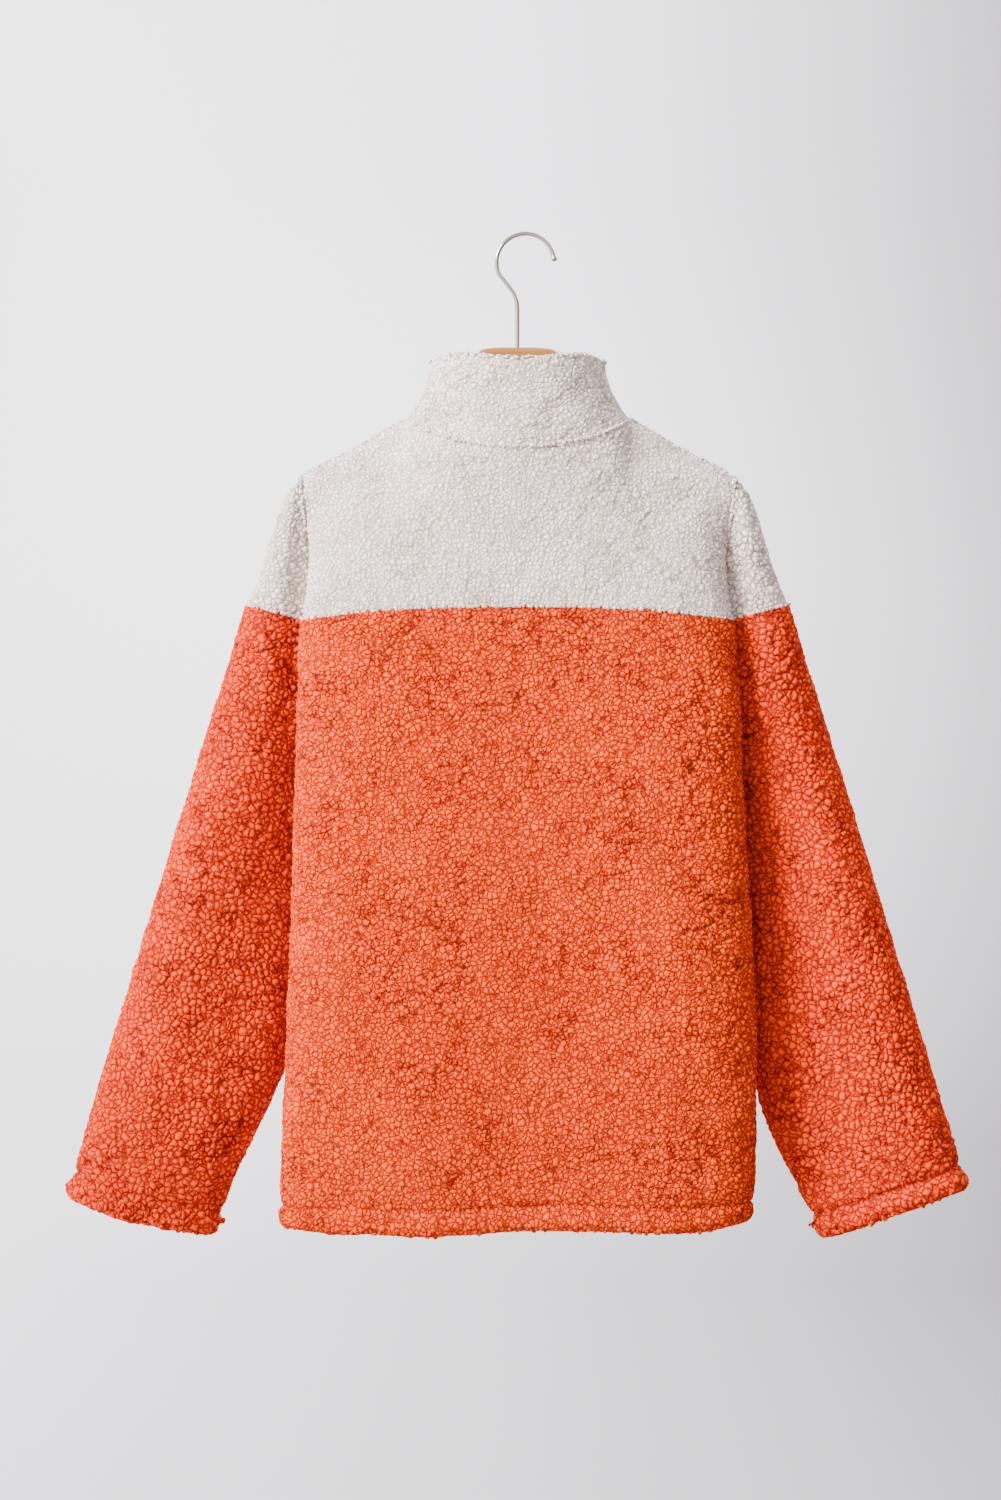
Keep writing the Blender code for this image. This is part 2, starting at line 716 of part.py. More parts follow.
def hem_rows(rows_z):
    """Thickness and relief for rows that start at the hem's edge."""
    ways = [z - rows_z[0] for z in rows_z]
    thick = [HEM_CLOTH if way <= HEM_BAND else CLOTH for way in ways]
    return thick, [band_shape(way) for way in ways]


def cut_cloth():
    """Every piece of the garment's cloth, from one skin."""
    heights = body_heights()
    seam = split_row(heights, YOKE_SEAM_Z)
    back, front = body_side(False), body_side(True)
    middle = (front.shape[1] - 1) // 2
    sleeves = {side: sleeve_rows(back, front, side) for side in (-1, 1)}
    collar = collar_rows(back, front)
    skin = Skin()
    skin.add(back, flip=False)
    skin.add(front, flip=True)
    skin.add(collar, flip=True)
    for side, rows in sleeves.items():
        skin.add(rows, flip=side > 0)
        for row, step in ((0, TIP_STEP), (ARM_ROWS, UNDERARM_STEP)):
            skin.fixed[skin.key(rows[row][0])] = np.array(step) * (side, 1, 1)
    thick, relief = hem_rows(heights[: seam + 1])
    wall("back_body", back[: seam + 1], skin, False, ORANGE, thick, relief)
    wall("front_body", front[: seam + 1], skin, True, ORANGE, thick, relief)
    wall("back_yoke", back[seam:], skin, False, CREAM)
    wall("front_yoke_left", front[seam:, :middle], skin, True, CREAM)
    wall("front_yoke_right", front[seam:, middle + 1 :], skin, True, CREAM)
    wall("collar", collar, skin, True, CREAM)
    top_rows = ARM_ROWS - YOKE_ROW
    for side, rows in sleeves.items():
        word = "right" if side > 0 else "left"
        wall(f"sleeve_top_{word}", rows[: top_rows + 1], skin, side > 0, CREAM, pole=True)
        lower = rows[top_rows:]
        ways = [0.0, 5.0, 13.0, HEM_BAND, HEM_BAND + 6]
        plain = len(lower) - len(ways)
        thick = [CLOTH] * (plain + 1) + [HEM_CLOTH] * 4
        relief = [0.0] * plain + [band_shape(way) for way in ways[::-1]]
        slit = ARM_ROWS - top_rows + 1
        wall(f"sleeve_{word}", lower, skin, side > 0, ORANGE, thick, relief, slit=slit)
    return front, collar, seam, skin


def tape(name, side, front, collar, seam, skin):
    """One side of the zip's tape, sewn behind the cloth's edge."""
    middle = (front.shape[1] - 1) // 2
    pairs = [(row[middle + side], row[middle + 2 * side]) for row in front[seam - 1 :]]
    near, beyond = (0, 1) if side > 0 else (-1, -2)
    pairs += [(row[near], row[beyond]) for row in collar[1:]]
    rows = []
    for edge, further in pairs:
        steps = skin.inward(edge, CLOTH), skin.inward(further, CLOTH)
        inner = edge + steps[0], further + steps[1]
        share = (TAPE_REACH - ZIP_HALF) / abs(further[0] - edge[0])
        far = inner[0] + (inner[1] - inner[0]) * share
        into = steps[0] / np.linalg.norm(steps[0])
        into_far = steps[0] + (steps[1] - steps[0]) * share
        into_far /= np.linalg.norm(into_far)
        start = inner[0].copy()
        start[0] = side * (CHAIN_HALF + SEAM_GAP)
        row = []
        for point, way in ((start, into), (inner[0], into), (far, into_far)):
            row.append((point + way * SEAM_GAP, point + way * (SEAM_GAP + TAPE_THICK)))
        rows.append(row)
    rows = np.array(rows)
    rows[0] = rows[1] + (rows[0] - rows[1]) * TAPE_BELOW_SEAM
    rows[-1] = rows[-1] + (rows[-2] - rows[-1]) * TAPE_BELOW_TOP
    return shell(name, rows[:, :, 0], rows[:, :, 1], side < 0, WOVEN)


def shell(name, outside, inside, flip, look):
    """A closed slab between two grids of the same size."""
    rows, count = outside.shape[:2]
    bm = bmesh.new()
    outer = [[bm.verts.new(p * MM) for p in row] for row in outside]
    inner = [[bm.verts.new(p * MM) for p in row] for row in inside]

    def face(*corners):
        bm.faces.new(corners[::-1] if flip else corners)

    for r in range(rows - 1):
        for c in range(count - 1):
            face(outer[r][c + 1], outer[r][c], outer[r + 1][c], outer[r + 1][c + 1])
            face(inner[r][c], inner[r][c + 1], inner[r + 1][c + 1], inner[r + 1][c])
        face(outer[r][0], inner[r][0], inner[r + 1][0], outer[r + 1][0])
        face(inner[r][-1], outer[r][-1], outer[r + 1][-1], inner[r + 1][-1])
    for c in range(count - 1):
        face(outer[0][c], outer[0][c + 1], inner[0][c + 1], inner[0][c])
        face(inner[-1][c], inner[-1][c + 1], outer[-1][c + 1], outer[-1][c])
    mesh = bpy.data.meshes.new(name)
    bm.to_mesh(mesh)
    bm.free()
    return placed(name, mesh, look)


def zip_line(front, collar, seam):
    """The middle of the zip on the cloth's outside, from the yoke seam to the collar's top."""
    middle = (front.shape[1] - 1) // 2
    points = [row[middle + 1] for row in front[seam:]] + [row[0] for row in collar[1:]]
    line = np.array([(0.0, y, z) for _, y, z in points])
    along = np.concatenate([[0.0], np.cumsum(np.linalg.norm(np.diff(line, axis=0), axis=1))])
    return line, along


def on_line(line, along, at):
    """A point at a length along a line, and the line's direction there."""
    point = np.array([np.interp(at, along, line[:, k]) for k in range(3)])
    ahead = np.array([np.interp(at + 4, along, line[:, k]) for k in range(3)])
    behind = np.array([np.interp(at - 4, along, line[:, k]) for k in range(3)])
    way = (ahead - behind) / np.linalg.norm(ahead - behind)
    return point, way


def chain(line, along, top):
    """The closed chain as one flat strip, from the yoke seam to the slider."""
    outside, inside = [], []
    for at in np.linspace(3.0, top, 15):
        point, way = on_line(line, along, at)
        out = np.array([0.0, way[2], -way[1]])
        row = [point + (side * CHAIN_HALF, 0, 0) for side in (-1, 1)]
        outside.append([p - out * CHAIN_DEPTH for p in row])
        inside.append([p - out * (CHAIN_DEPTH + CHAIN_THICK) for p in row])
    return shell("zip_chain", np.array(outside), np.array(inside), False, ZIP_METAL)


def in_collection(made, name):
    for holder in list(made.users_collection):
        holder.objects.unlink(made)
    bpy.data.collections[name].objects.link(made)
    return made


def helper(made):
    """An object that only cuts or joins others."""
    made.hide_render = True
    made.display_type = "WIRE"
    return in_collection(made, CUTTERS)


def flat_piece(name, outlines, thick, material, edge=0.0):
    """Flat outlines in mm, the first with the others as its holes, thickened both ways.

    The outline lies in the XZ plane. edge is the radius of its rounded edges.
    """
    curve = bpy.data.curves.new(name + "_outline", "CURVE")
    curve.dimensions = "2D"
    curve.fill_mode = "BOTH"
    curve.extrude = (thick / 2 - edge) * MM
    curve.bevel_depth = edge * MM
    curve.bevel_resolution = 1
    curve.offset = -edge * MM
    for outline in outlines:
        spline = curve.splines.new("POLY")
        spline.points.add(len(outline) - 1)
        for point, (x, y) in zip(spline.points, outline):
            point.co = (x * MM, y * MM, 0, 1)
        spline.use_cyclic_u = True
    drawn = bpy.data.objects.new(name + "_outline", curve)
    bpy.context.scene.collection.objects.link(drawn)
    bpy.context.view_layer.update()
    seen = drawn.evaluated_get(bpy.context.evaluated_depsgraph_get())
    mesh = bpy.data.meshes.new_from_object(seen)
    mesh.name = name
    bpy.data.objects.remove(drawn)
    bm = bmesh.new()
    bm.from_mesh(mesh)
    bmesh.ops.remove_doubles(bm, verts=bm.verts[:], dist=0.001 * MM)
    bmesh.ops.recalc_face_normals(bm, faces=bm.faces[:])
    bm.to_mesh(mesh)
    bm.free()
    mesh.materials.clear()
    mesh.materials.append(material)
    made = bpy.data.objects.new(name, mesh)
    made.rotation_euler = (math.pi / 2, 0, 0)
    return in_collection(made, COLLECTION)


def block(name, size, centre):
    """A box with its middle at a place, both in mm."""
    bpy.ops.mesh.primitive_cube_add(size=1.0)
    made = bpy.context.object
    made.name = name
    made.data.transform(Matrix.Diagonal([side * MM for side in size] + [1.0]))
    made.location = [place * MM for place in centre]
    return in_collection(made, COLLECTION)


def combine(made, other, operation):
    step = made.modifiers.new(other.name, "BOOLEAN")
    step.operation = operation
    step.solver = "EXACT"
    step.object = helper(other)


def zip_place(point, way):
    """An empty on the zip's line, with its Z along the zip and its Y out of the cloth."""
    empty = bpy.data.objects.new("slider_place", None)
    empty.location = point * MM
    empty.rotation_euler = (math.atan2(-way[1], way[2]), 0, 0)
    return in_collection(empty, COLLECTION)


def slider(place, material):
    """Two plates over the chain, the post between them above it, and the bail in front."""
    front = -CHAIN_DEPTH + SEAM_GAP
    face = front + PLATE_THICK
    back = -CHAIN_DEPTH - CHAIN_THICK - SEAM_GAP
    plate = (SLIDER_WIDE, PLATE_THICK, SLIDER_TALL)
    made = block("slider", plate, (0, front + PLATE_THICK / 2, 0))
    post = (POST_WIDE, front - back + PLATE_THICK, POST_TALL)
    post_up = (SLIDER_TALL - POST_TALL) / 2 - 0.4
    leg_up = (BAIL_TALL - BAIL_WIRE) / 2
    reach = BAIL_HIGH - BAIL_WIRE / 2 + 0.3
    leg = (BAIL_WIDE, reach, BAIL_WIRE)
    bar = (BAIL_WIDE + 0.2, BAIL_WIRE, BAIL_TALL + 0.2)
    parts = (
        ("slider_back", plate, (0, back - PLATE_THICK / 2, 0)),
        ("slider_post", post, (0, (front + back) / 2, post_up)),
        ("bail_foot", leg, (0, face + reach / 2 - 0.3, -leg_up)),
        ("bail_head", leg, (0, face + reach / 2 - 0.3, leg_up)),
        ("bail_bar", bar, (0, face + BAIL_HIGH - BAIL_WIRE / 2, 0)),
    )
    made.parent = place
    for name, size, centre in parts:
        piece = block(name, size, centre)
        piece.parent = place
        combine(made, piece, "UNION")
    made.data.materials.append(material)
    return face


def pull_tab(face, place, material):
    """A plate that hangs on the bail by an eye; its hinge runs through the eye's upper bar."""
    low = -BAIL_TALL / 2 + BAIL_WIRE + TAB_THICK / 2 + 0.2
    half, bar, end = TAB_WIDE / 2, TAB_THICK / 2, TAB_LENGTH - 2
    right = [
        (half - 1, bar),
        (half, bar - 1.6),
        (half, -9.0),
        (half - 0.7, -11.0),
        (half - 0.7, -end + 2),
        (half - 2.2, -end),
    ]
    outline = right + [(-x, z) for x, z in right[::-1]]
    across, below = EYE_WIDE / 2, -bar - EYE_TALL
    eye = [(across, -bar), (across, below), (-across, below), (-across, -bar)]
    made = flat_piece("pull_tab", [outline, eye], TAB_THICK, material)
    made.location = (0, (face + (BAIL_HIGH - BAIL_WIRE) / 2) * MM, low * MM)
    made.parent = place
    return made


def hook(material):
    """The hook's wire, with a small knob on its end, as one curve from the knob to the foot."""
    centre = np.array(HOOK_CENTRE)
    arc = []
    for degrees in range(2, 208, 8):
        turn = math.radians(degrees)
        arc.append(centre + HOOK_BEND * np.array([math.cos(turn), math.sin(turn)]))
    foot = through([arc[-2], arc[-1]] + list(HOOK_FOOT), steps=4)[5:]
    line = np.vstack([arc, foot, [(0.0, -80.0)], [(0.0, STEM_FOOT_Z)]])
    knob, wire = HOOK_KNOB / 2, HOOK_WIRE / 2
    meet = knob + math.sqrt(knob**2 - wire**2)
    along = np.concatenate([[0.0], np.cumsum(np.linalg.norm(np.diff(line, axis=0), axis=1))])
    places = [knob * (1 - math.cos(math.pi * k / 10)) for k in range(1, 8)] + [meet]
    places += [at for at in along if at > meet + 1.0]
    curve = bpy.data.curves.new("hook", "CURVE")
    curve.dimensions = "3D"
    curve.bevel_depth = wire * MM
    curve.bevel_resolution = 2
    curve.use_fill_caps = True
    spline = curve.splines.new("POLY")
    spline.points.add(len(places) - 1)
    for point, at in zip(spline.points, places):
        x, z = (np.interp(at, along, line[:, k]) for k in range(2))
        point.co = (x * MM, 0, z * MM, 1)
        point.radius = math.sqrt(max(0, knob**2 - (at - knob) ** 2)) / wire if at < meet else 1.0
    curve.materials.append(material)
    return in_collection(bpy.data.objects.new("hook", curve), COLLECTION)


def hanger(material):
    """The hanger's board, with rounded edges and a hole for the hook's stem."""
    arm = [(x, column(CREST, CREST_COLUMNS, "z", x) - ARM_UNDER_CREST) for x in ARM_PLACES]
    top = [tuple(p) for p in through(WOOD_TOP, steps=3)] + arm
    half = top + [tuple(p) for p in through(WOOD_UNDER, steps=2)]
    outline = half + [(-x, z) for x, z in half[-2:0:-1]]
    made = flat_piece("hanger", [outline], WOOD_THICK, material, edge=WOOD_ROUND)
    bpy.ops.mesh.primitive_cylinder_add(
        vertices=16,
        radius=(HOOK_WIRE / 2 + SEAM_GAP) * MM,
        depth=30 * MM,
        location=(0, 0, (STEM_FOOT_Z - SEAM_GAP + 15) * MM),
    )
    drill = bpy.context.object
    drill.name = "stem_hole"
    combine(made, drill, "DIFFERENCE")
    made.data.shade_smooth()
    made.data.set_sharp_from_angle(angle=math.radians(60))
    return made


def main():
    for old in list(bpy.data.objects):
        bpy.data.objects.remove(old)
    for name in (COLLECTION, CUTTERS):
        bpy.context.scene.collection.children.link(bpy.data.collections.new(name))
    front, collar, seam, skin = cut_cloth()
    tape("zip_tape_left", -1, front, collar, seam, skin)
    tape("zip_tape_right", 1, front, collar, seam, skin)
    line, along = zip_line(front, collar, seam)
    at = along[-1] - SLIDER_BELOW_TOP
    chain(line, along, at + SLIDER_TALL / 2 - POST_TALL - 0.9)
    place = zip_place(*on_line(line, along, at))
    face = slider(place, finish("slider", ZIP_METAL))
    tab = pull_tab(face, place, finish("pull_tab", ZIP_METAL))
    hanger(finish("hanger", WOOD))
    hook(finish("hook", WIRE))
    bpy.context.view_layer.update()
    print("pull tab hinge", [round(v, 6) for v in tab.matrix_world.translation])


main()
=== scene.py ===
# %% [markdown]
# # A half-zip sherpa sweatshirt on its hanger
#
# The pullover hangs with its back to the camera: cream sherpa fleece above an arched seam, orange
# sherpa below it, a stand collar, long sleeves, and a half zip on the far side. The solids of every
# cut piece come in as a fixed frame. What is made here is what the solids leave out: the curls of
# the pile, the knitted inside, the turned-up hems, the zip's teeth, and every finish.

# %% Load the frame
import math

import bmesh
import bpy
import numpy as np
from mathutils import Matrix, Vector
from mathutils.bvhtree import BVHTree


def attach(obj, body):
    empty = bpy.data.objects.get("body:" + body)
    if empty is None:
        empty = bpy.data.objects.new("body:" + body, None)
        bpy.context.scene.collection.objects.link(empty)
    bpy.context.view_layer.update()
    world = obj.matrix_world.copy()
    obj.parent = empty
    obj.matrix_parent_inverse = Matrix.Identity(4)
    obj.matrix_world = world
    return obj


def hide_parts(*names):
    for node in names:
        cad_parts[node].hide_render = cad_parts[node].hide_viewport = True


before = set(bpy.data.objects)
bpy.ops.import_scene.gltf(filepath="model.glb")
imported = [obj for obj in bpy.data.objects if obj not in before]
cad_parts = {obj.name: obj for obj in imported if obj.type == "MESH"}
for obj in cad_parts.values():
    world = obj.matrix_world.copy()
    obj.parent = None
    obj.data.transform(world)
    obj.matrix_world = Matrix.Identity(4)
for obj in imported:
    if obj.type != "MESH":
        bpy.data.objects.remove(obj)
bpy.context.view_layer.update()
MM = 0.001
print("nodes:", ", ".join(sorted(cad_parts)))

# %% [markdown]
# ## The camera
#
# The picture was taken straight on, from far enough that the sides barely converge. One pixel is
# 0.86 mm at the hanger, so the 1500 pixels of its height are 1.29 m. From 3 m away a lens of
# 83.7 mm takes in just that height on a 36 mm sensor.

# %% Camera
PIXEL = 0.86 * MM
ORIGIN_AT = (517.5, 237)
bpy.ops.object.camera_add(
    location=((500.5 - ORIGIN_AT[0]) * PIXEL, -3.0, (ORIGIN_AT[1] - 750) * PIXEL),
    rotation=(math.pi / 2, 0, 0),
)
camera = bpy.context.object
camera.data.sensor_width = 36
camera.data.lens = 36 * 3.0 / (1500 * PIXEL)
bpy.context.scene.camera = camera
print("lens", round(camera.data.lens, 1), "mm")


# %% [markdown]
# ## Nodes and colours
#
# Every material is built from nodes. One small function adds a node, sets what is given and links
# what is a socket. Another turns the hex codes that a colour picker shows into linear light.

# %% Node and colour helpers
def add(tree, kind, inputs=None, **settings):
    """Add one node, with its settings and its inputs, each a value or another node's socket."""
    made = tree.nodes.new(kind)
    for name, value in settings.items():
        setattr(made, name, value)
    for name, value in (inputs or {}).items():
        if isinstance(value, bpy.types.NodeSocket):
            tree.links.new(value, made.inputs[name])
        else:
            made.inputs[name].default_value = value
    return made


def colour(code):
    """An sRGB hex code as linear RGBA."""
    parts = [int(code[i : i + 2], 16) / 255 for i in (0, 2, 4)]
    return tuple(c / 12.92 if c <= 0.04045 else ((c + 0.055) / 1.055) ** 2.4 for c in parts) + (1.0,)


def new_material(name, **values):
    """A material with constants on its shader's own sockets."""
    made = bpy.data.materials.new(name)
    made.use_nodes = True
    shader = made.node_tree.nodes["Principled BSDF"]
    for socket, value in values.items():
        shader.inputs[socket.replace("_", " ")].default_value = value
    return made, made.node_tree, shader


# %% [markdown]
# ## The room
#
# A pale floor that curves up into a pale wall all the way round, far behind the garment, so that
# every view has the same plain ground. It starts as a disc, and its rim is extruded along a cove.
# The wall and floor are a little greyer to the right and downwards: painted shade, where less light falls.

# %% Floor and wall
def deselect():
    bpy.ops.object.select_all(action="DESELECT")


deselect()
FLOOR_Z, FLAT_RADIUS, COVE, WALL_RISE = -1.35, 5.2, 2.6, 1.4
bpy.ops.mesh.primitive_circle_add(
    vertices=96, radius=FLAT_RADIUS, fill_type="NGON", location=(0, 0, FLOOR_Z)
)
room = bpy.context.object
room.name = "room"
bpy.ops.object.mode_set(mode="EDIT")
bpy.ops.mesh.select_all(action="SELECT")
bpy.ops.mesh.region_to_loop()
COVE_STEPS = 12
for step in range(COVE_STEPS):
    start, end = (math.pi / 2 * part / COVE_STEPS for part in (step, step + 1))
    rise = COVE * (math.cos(start) - math.cos(end))
    wider = (FLAT_RADIUS + COVE * math.sin(end)) / (FLAT_RADIUS + COVE * math.sin(start))
    bpy.ops.mesh.extrude_edges_move(TRANSFORM_OT_translate={"value": (0, 0, rise)})
    bpy.ops.transform.resize(value=(wider, wider, 1))
bpy.ops.mesh.extrude_edges_move(TRANSFORM_OT_translate={"value": (0, 0, WALL_RISE)})
bpy.ops.mesh.select_all(action="SELECT")
bpy.ops.mesh.normals_make_consistent(inside=True)
bpy.ops.object.mode_set(mode="OBJECT")
bpy.ops.object.shade_smooth()
wall_with_painted_shade, tree, shader = new_material("matt_wall_with_painted_shade", Roughness=0.9)
shader.inputs["Specular IOR Level"].default_value = 0.1
where = add(tree, "ShaderNodeTexCoord")
axes = add(tree, "ShaderNodeSeparateXYZ", {"Vector": where.outputs["Object"]})
level = add(tree, "ShaderNodeCombineXYZ", {"X": axes.outputs[0], "Y": axes.outputs[1]})
away = add(tree, "ShaderNodeVectorMath", {0: level.outputs[0]}, operation="LENGTH")
# Painted shade: greyer to the right across the wall, and greyer on the floor nearer the middle.
across = add(tree, "ShaderNodeMapRange", {"Value": axes.outputs[0], "From Min": 1.65, "From Max": -1.5})
near = add(
    tree,
    "ShaderNodeMapRange",
    {"Value": away.outputs["Value"], "From Min": 7.5, "From Max": 3.0, "To Min": 0.0, "To Max": 0.24},
)
painted_light_level = add(tree, "ShaderNodeMath", {0: across.outputs[0], 1: near.outputs[0]}, operation="SUBTRACT")
wall_tone_and_painted_shade = add(tree, "ShaderNodeValToRGB", {"Fac": painted_light_level.outputs[0]})
wall_tone_and_painted_shade.color_ramp.elements[0].color = colour("7A7679")
wall_tone_and_painted_shade.color_ramp.elements[1].color = colour("FDFDFF")
halfway = wall_tone_and_painted_shade.color_ramp.elements.new(0.5)
halfway.color = colour("D3D3D8")
tree.links.new(wall_tone_and_painted_shade.outputs["Color"], shader.inputs["Base Color"])
room.data.materials.append(wall_with_painted_shade)

# %% [markdown]
# ## The light
#
# A wide, soft sun stands to the left of the camera, as a window would. It makes the left of each
# sleeve the brightest and leaves the valley between the body and the right sleeve dark. The rest is
# the bounce of a white room, which comes from the world's plain colour.

# %% Lights
def soft_sun(name, toward, strength, width, tint="FFFFFF"):
    """A broad light that shines along a direction, as wide in the sky as width degrees."""
    bpy.ops.object.light_add(type="SUN")
    made = bpy.context.object
    made.name = name
    made.data.energy = strength
    made.data.angle = math.radians(width)
    made.data.color = colour(tint)[:3]
    made.rotation_euler = Vector(toward).to_track_quat("-Z", "Y").to_euler()
    return made


soft_sun("window_left", (0.95, 0.58, -0.55), 20.0, 24)
soft_sun("window_behind", (-0.5, -0.75, -0.5), 7.0, 60)
world = bpy.data.worlds.new("white_room")
world.use_nodes = True
world.node_tree.nodes["Background"].inputs["Color"].default_value = colour("F6F8FC")
world.node_tree.nodes["Background"].inputs["Strength"].default_value = 1.5
bpy.context.scene.world = world


# %% [markdown]
# ## What sherpa is made of
#
# Sherpa fleece is a knitted ground with long polyester loops that are cut and tumbled until they
# curl up into small knobs, 3 to 7 mm across, packed side by side. Only narrow clefts part them, and
# those are deep in colour because light reaches them only through the fibres. A Voronoi pattern's
# distance to the cell's edge gives just that: wide tops and thin clefts. A second, far larger one is
# bent until its edges wander, and stands for the wrinkles that many clefts join into.
#
# The same few nodes serve twice: Geometry Nodes move the surface with them, and the material reads
# them for colour and fine relief. Both start from the place where the surface lay before it was
# moved, which the mesh keeps as the attribute "rest".

# %% The curl pattern
def bent_place(tree, place, scale, reach):
    """The place, pushed about by noise, so that no line of a pattern stays straight."""
    wander = add(
        tree, "ShaderNodeTexNoise", {"Vector": place, "Scale": scale, "Detail": 3.0, "Roughness": 0.62}
    )
    centred = add(
        tree,
        "ShaderNodeVectorMath",
        {0: wander.outputs["Color"], 1: (0.5, 0.5, 0.5)},
        operation="SUBTRACT",
    )
    pushed = add(
        tree, "ShaderNodeVectorMath", {0: centred.outputs[0], "Scale": 2 * reach}, operation="SCALE"
    )
    return add(
        tree, "ShaderNodeVectorMath", {0: place, 1: pushed.outputs[0]}, operation="ADD"
    ).outputs[0]


def knob_height(tree, place, curl):
    """0 in the clefts, rising steeply and then gently to 1 on top of each knob."""
    bent = bent_place(tree, place, 0.5 / curl, 0.7 * curl)
    cells = add(
        tree,
        "ShaderNodeTexVoronoi",
        {"Vector": bent, "Scale": 1 / curl, "Randomness": 1.0},
        feature="DISTANCE_TO_EDGE",
    )
    share = add(
        tree,
        "ShaderNodeMath",
        {0: cells.outputs["Distance"], 1: 0.4},
        operation="DIVIDE",
        use_clamp=True,
    )
    return add(tree, "ShaderNodeMath", {0: share.outputs[0], 1: 0.5}, operation="POWER").outputs[0]


def wrinkle_depth(tree, place):
    """1 in the middle of a wrinkle, 0 beside it; wrinkles run more across than down and come and go."""
    bent = bent_place(tree, place, 45.0, 8 * MM)
    wide = add(tree, "ShaderNodeVectorMath", {0: bent, 1: (46.0, 46.0, 84.0)}, operation="MULTIPLY")
    cells = add(
        tree,
        "ShaderNodeTexVoronoi",
        {"Vector": wide.outputs[0], "Scale": 1.0, "Randomness": 1.0},
        feature="DISTANCE_TO_EDGE",
    )
    line = add(
        tree,
        "ShaderNodeMapRange",
        {"Value": cells.outputs["Distance"], "From Min": 0.0, "From Max": 0.11, "To Min": 1.0, "To Max": 0.0},
    )
    patches = add(tree, "ShaderNodeTexNoise", {"Vector": place, "Scale": 26.0, "Detail": 1.0})
    there = add(
        tree, "ShaderNodeMapRange", {"Value": patches.outputs["Fac"], "From Min": 0.4, "From Max": 0.66}
    )
    return add(
        tree, "ShaderNodeMath", {0: line.outputs[0], 1: there.outputs[0]}, operation="MULTIPLY"
    ).outputs[0]


# %% [markdown]
# ## The pile's finish
#
# Polyester pile has no clear highlight: it is rough, and fibres that stand up at a grazing angle
# catch the light as a soft sheen. Knobs are painted lighter on top, a painted highlight, and darker in
# the clefts, painted shade. Single fibres, under half a millimetre apart, are too fine to model and
# come from the bump. Blender's default view turns bright, pure colours pale, so the colours are
# picked deeper than they show.

# %% Sherpa materials
CURL = {"cream": 3.8 * MM, "cream_sleeve": 4.8 * MM, "orange": 4.3 * MM, "orange_sleeve": 5.2 * MM}


def sherpa(name, curl, dyes_and_painted_light, sheen, strength):
    """dyes_and_painted_light: the hex codes of a cleft's painted shade, a flank's dye and a top's painted
    highlight.
    """
    made, tree, shader = new_material(name, Roughness=0.95, Sheen_Weight=sheen, Sheen_Roughness=0.5)
    shader.inputs["Specular IOR Level"].default_value = 0.04
    shader.inputs["Sheen Tint"].default_value = colour(dyes_and_painted_light[2])
    place = add(tree, "ShaderNodeAttribute", attribute_name="rest").outputs["Vector"]
    knobs = knob_height(tree, place, curl)
    # Painted shade: the colour is drawn darker along the wrinkles and the stitch line, where the cloth is
    # pressed in.
    wrinkles = add(tree, "ShaderNodeAttribute", attribute_name="wrinkle").outputs["Fac"]
    lower = add(tree, "ShaderNodeMath", {0: knobs, 1: 0.42}, operation="SUBTRACT")
    level = add(
        tree, "ShaderNodeMath", {0: wrinkles, 1: -0.35, 2: lower.outputs[0]}, operation="MULTIPLY_ADD"
    )
    fibres = add(
        tree,
        "ShaderNodeTexNoise",
        {"Vector": place, "Scale": 0.5 / MM, "Detail": 3.0, "Roughness": 0.65, "Distortion": 0.8},
    )
    full = add(
        tree,
        "ShaderNodeMath",
        {0: fibres.outputs["Fac"], 1: 1.05, 2: level.outputs[0]},
        operation="MULTIPLY_ADD",
    )
    # Painted shade and painted highlight: the ramp runs from a dark cleft through the dye to a light top, by
    # the knob's height.
    ramp = add(tree, "ShaderNodeValToRGB", {"Fac": full.outputs[0]})
    ramp.color_ramp.elements[0].color = colour(dyes_and_painted_light[0])
    ramp.color_ramp.elements[0].position = 0.12
    ramp.color_ramp.elements[1].color = colour(dyes_and_painted_light[2])
    flank = ramp.color_ramp.elements.new(0.55)
    flank.color = colour(dyes_and_painted_light[1])
    tone = add(tree, "ShaderNodeAttribute", attribute_name="tone").outputs["Fac"]
    shade = add(
        tree,
        "ShaderNodeMapRange",
        {"Value": tone, "From Min": 0.3, "From Max": 0.7, "To Min": 0.88, "To Max": 1.08},
    )
    tinted = add(
        tree,
        "ShaderNodeVectorMath",
        {0: ramp.outputs["Color"], "Scale": shade.outputs[0]},
        operation="SCALE",
    )
    tree.links.new(tinted.outputs[0], shader.inputs["Base Color"])
    height = add(
        tree,
        "ShaderNodeMath",
        {0: fibres.outputs["Fac"], 1: 0.3, 2: full.outputs[0]},
        operation="MULTIPLY_ADD",
    )
    relief = add(
        tree,
        "ShaderNodeBump",
        {"Height": height.outputs[0], "Strength": strength, "Distance": 1.2 * MM},
    )
    tree.links.new(relief.outputs[0], shader.inputs["Normal"])
    return made


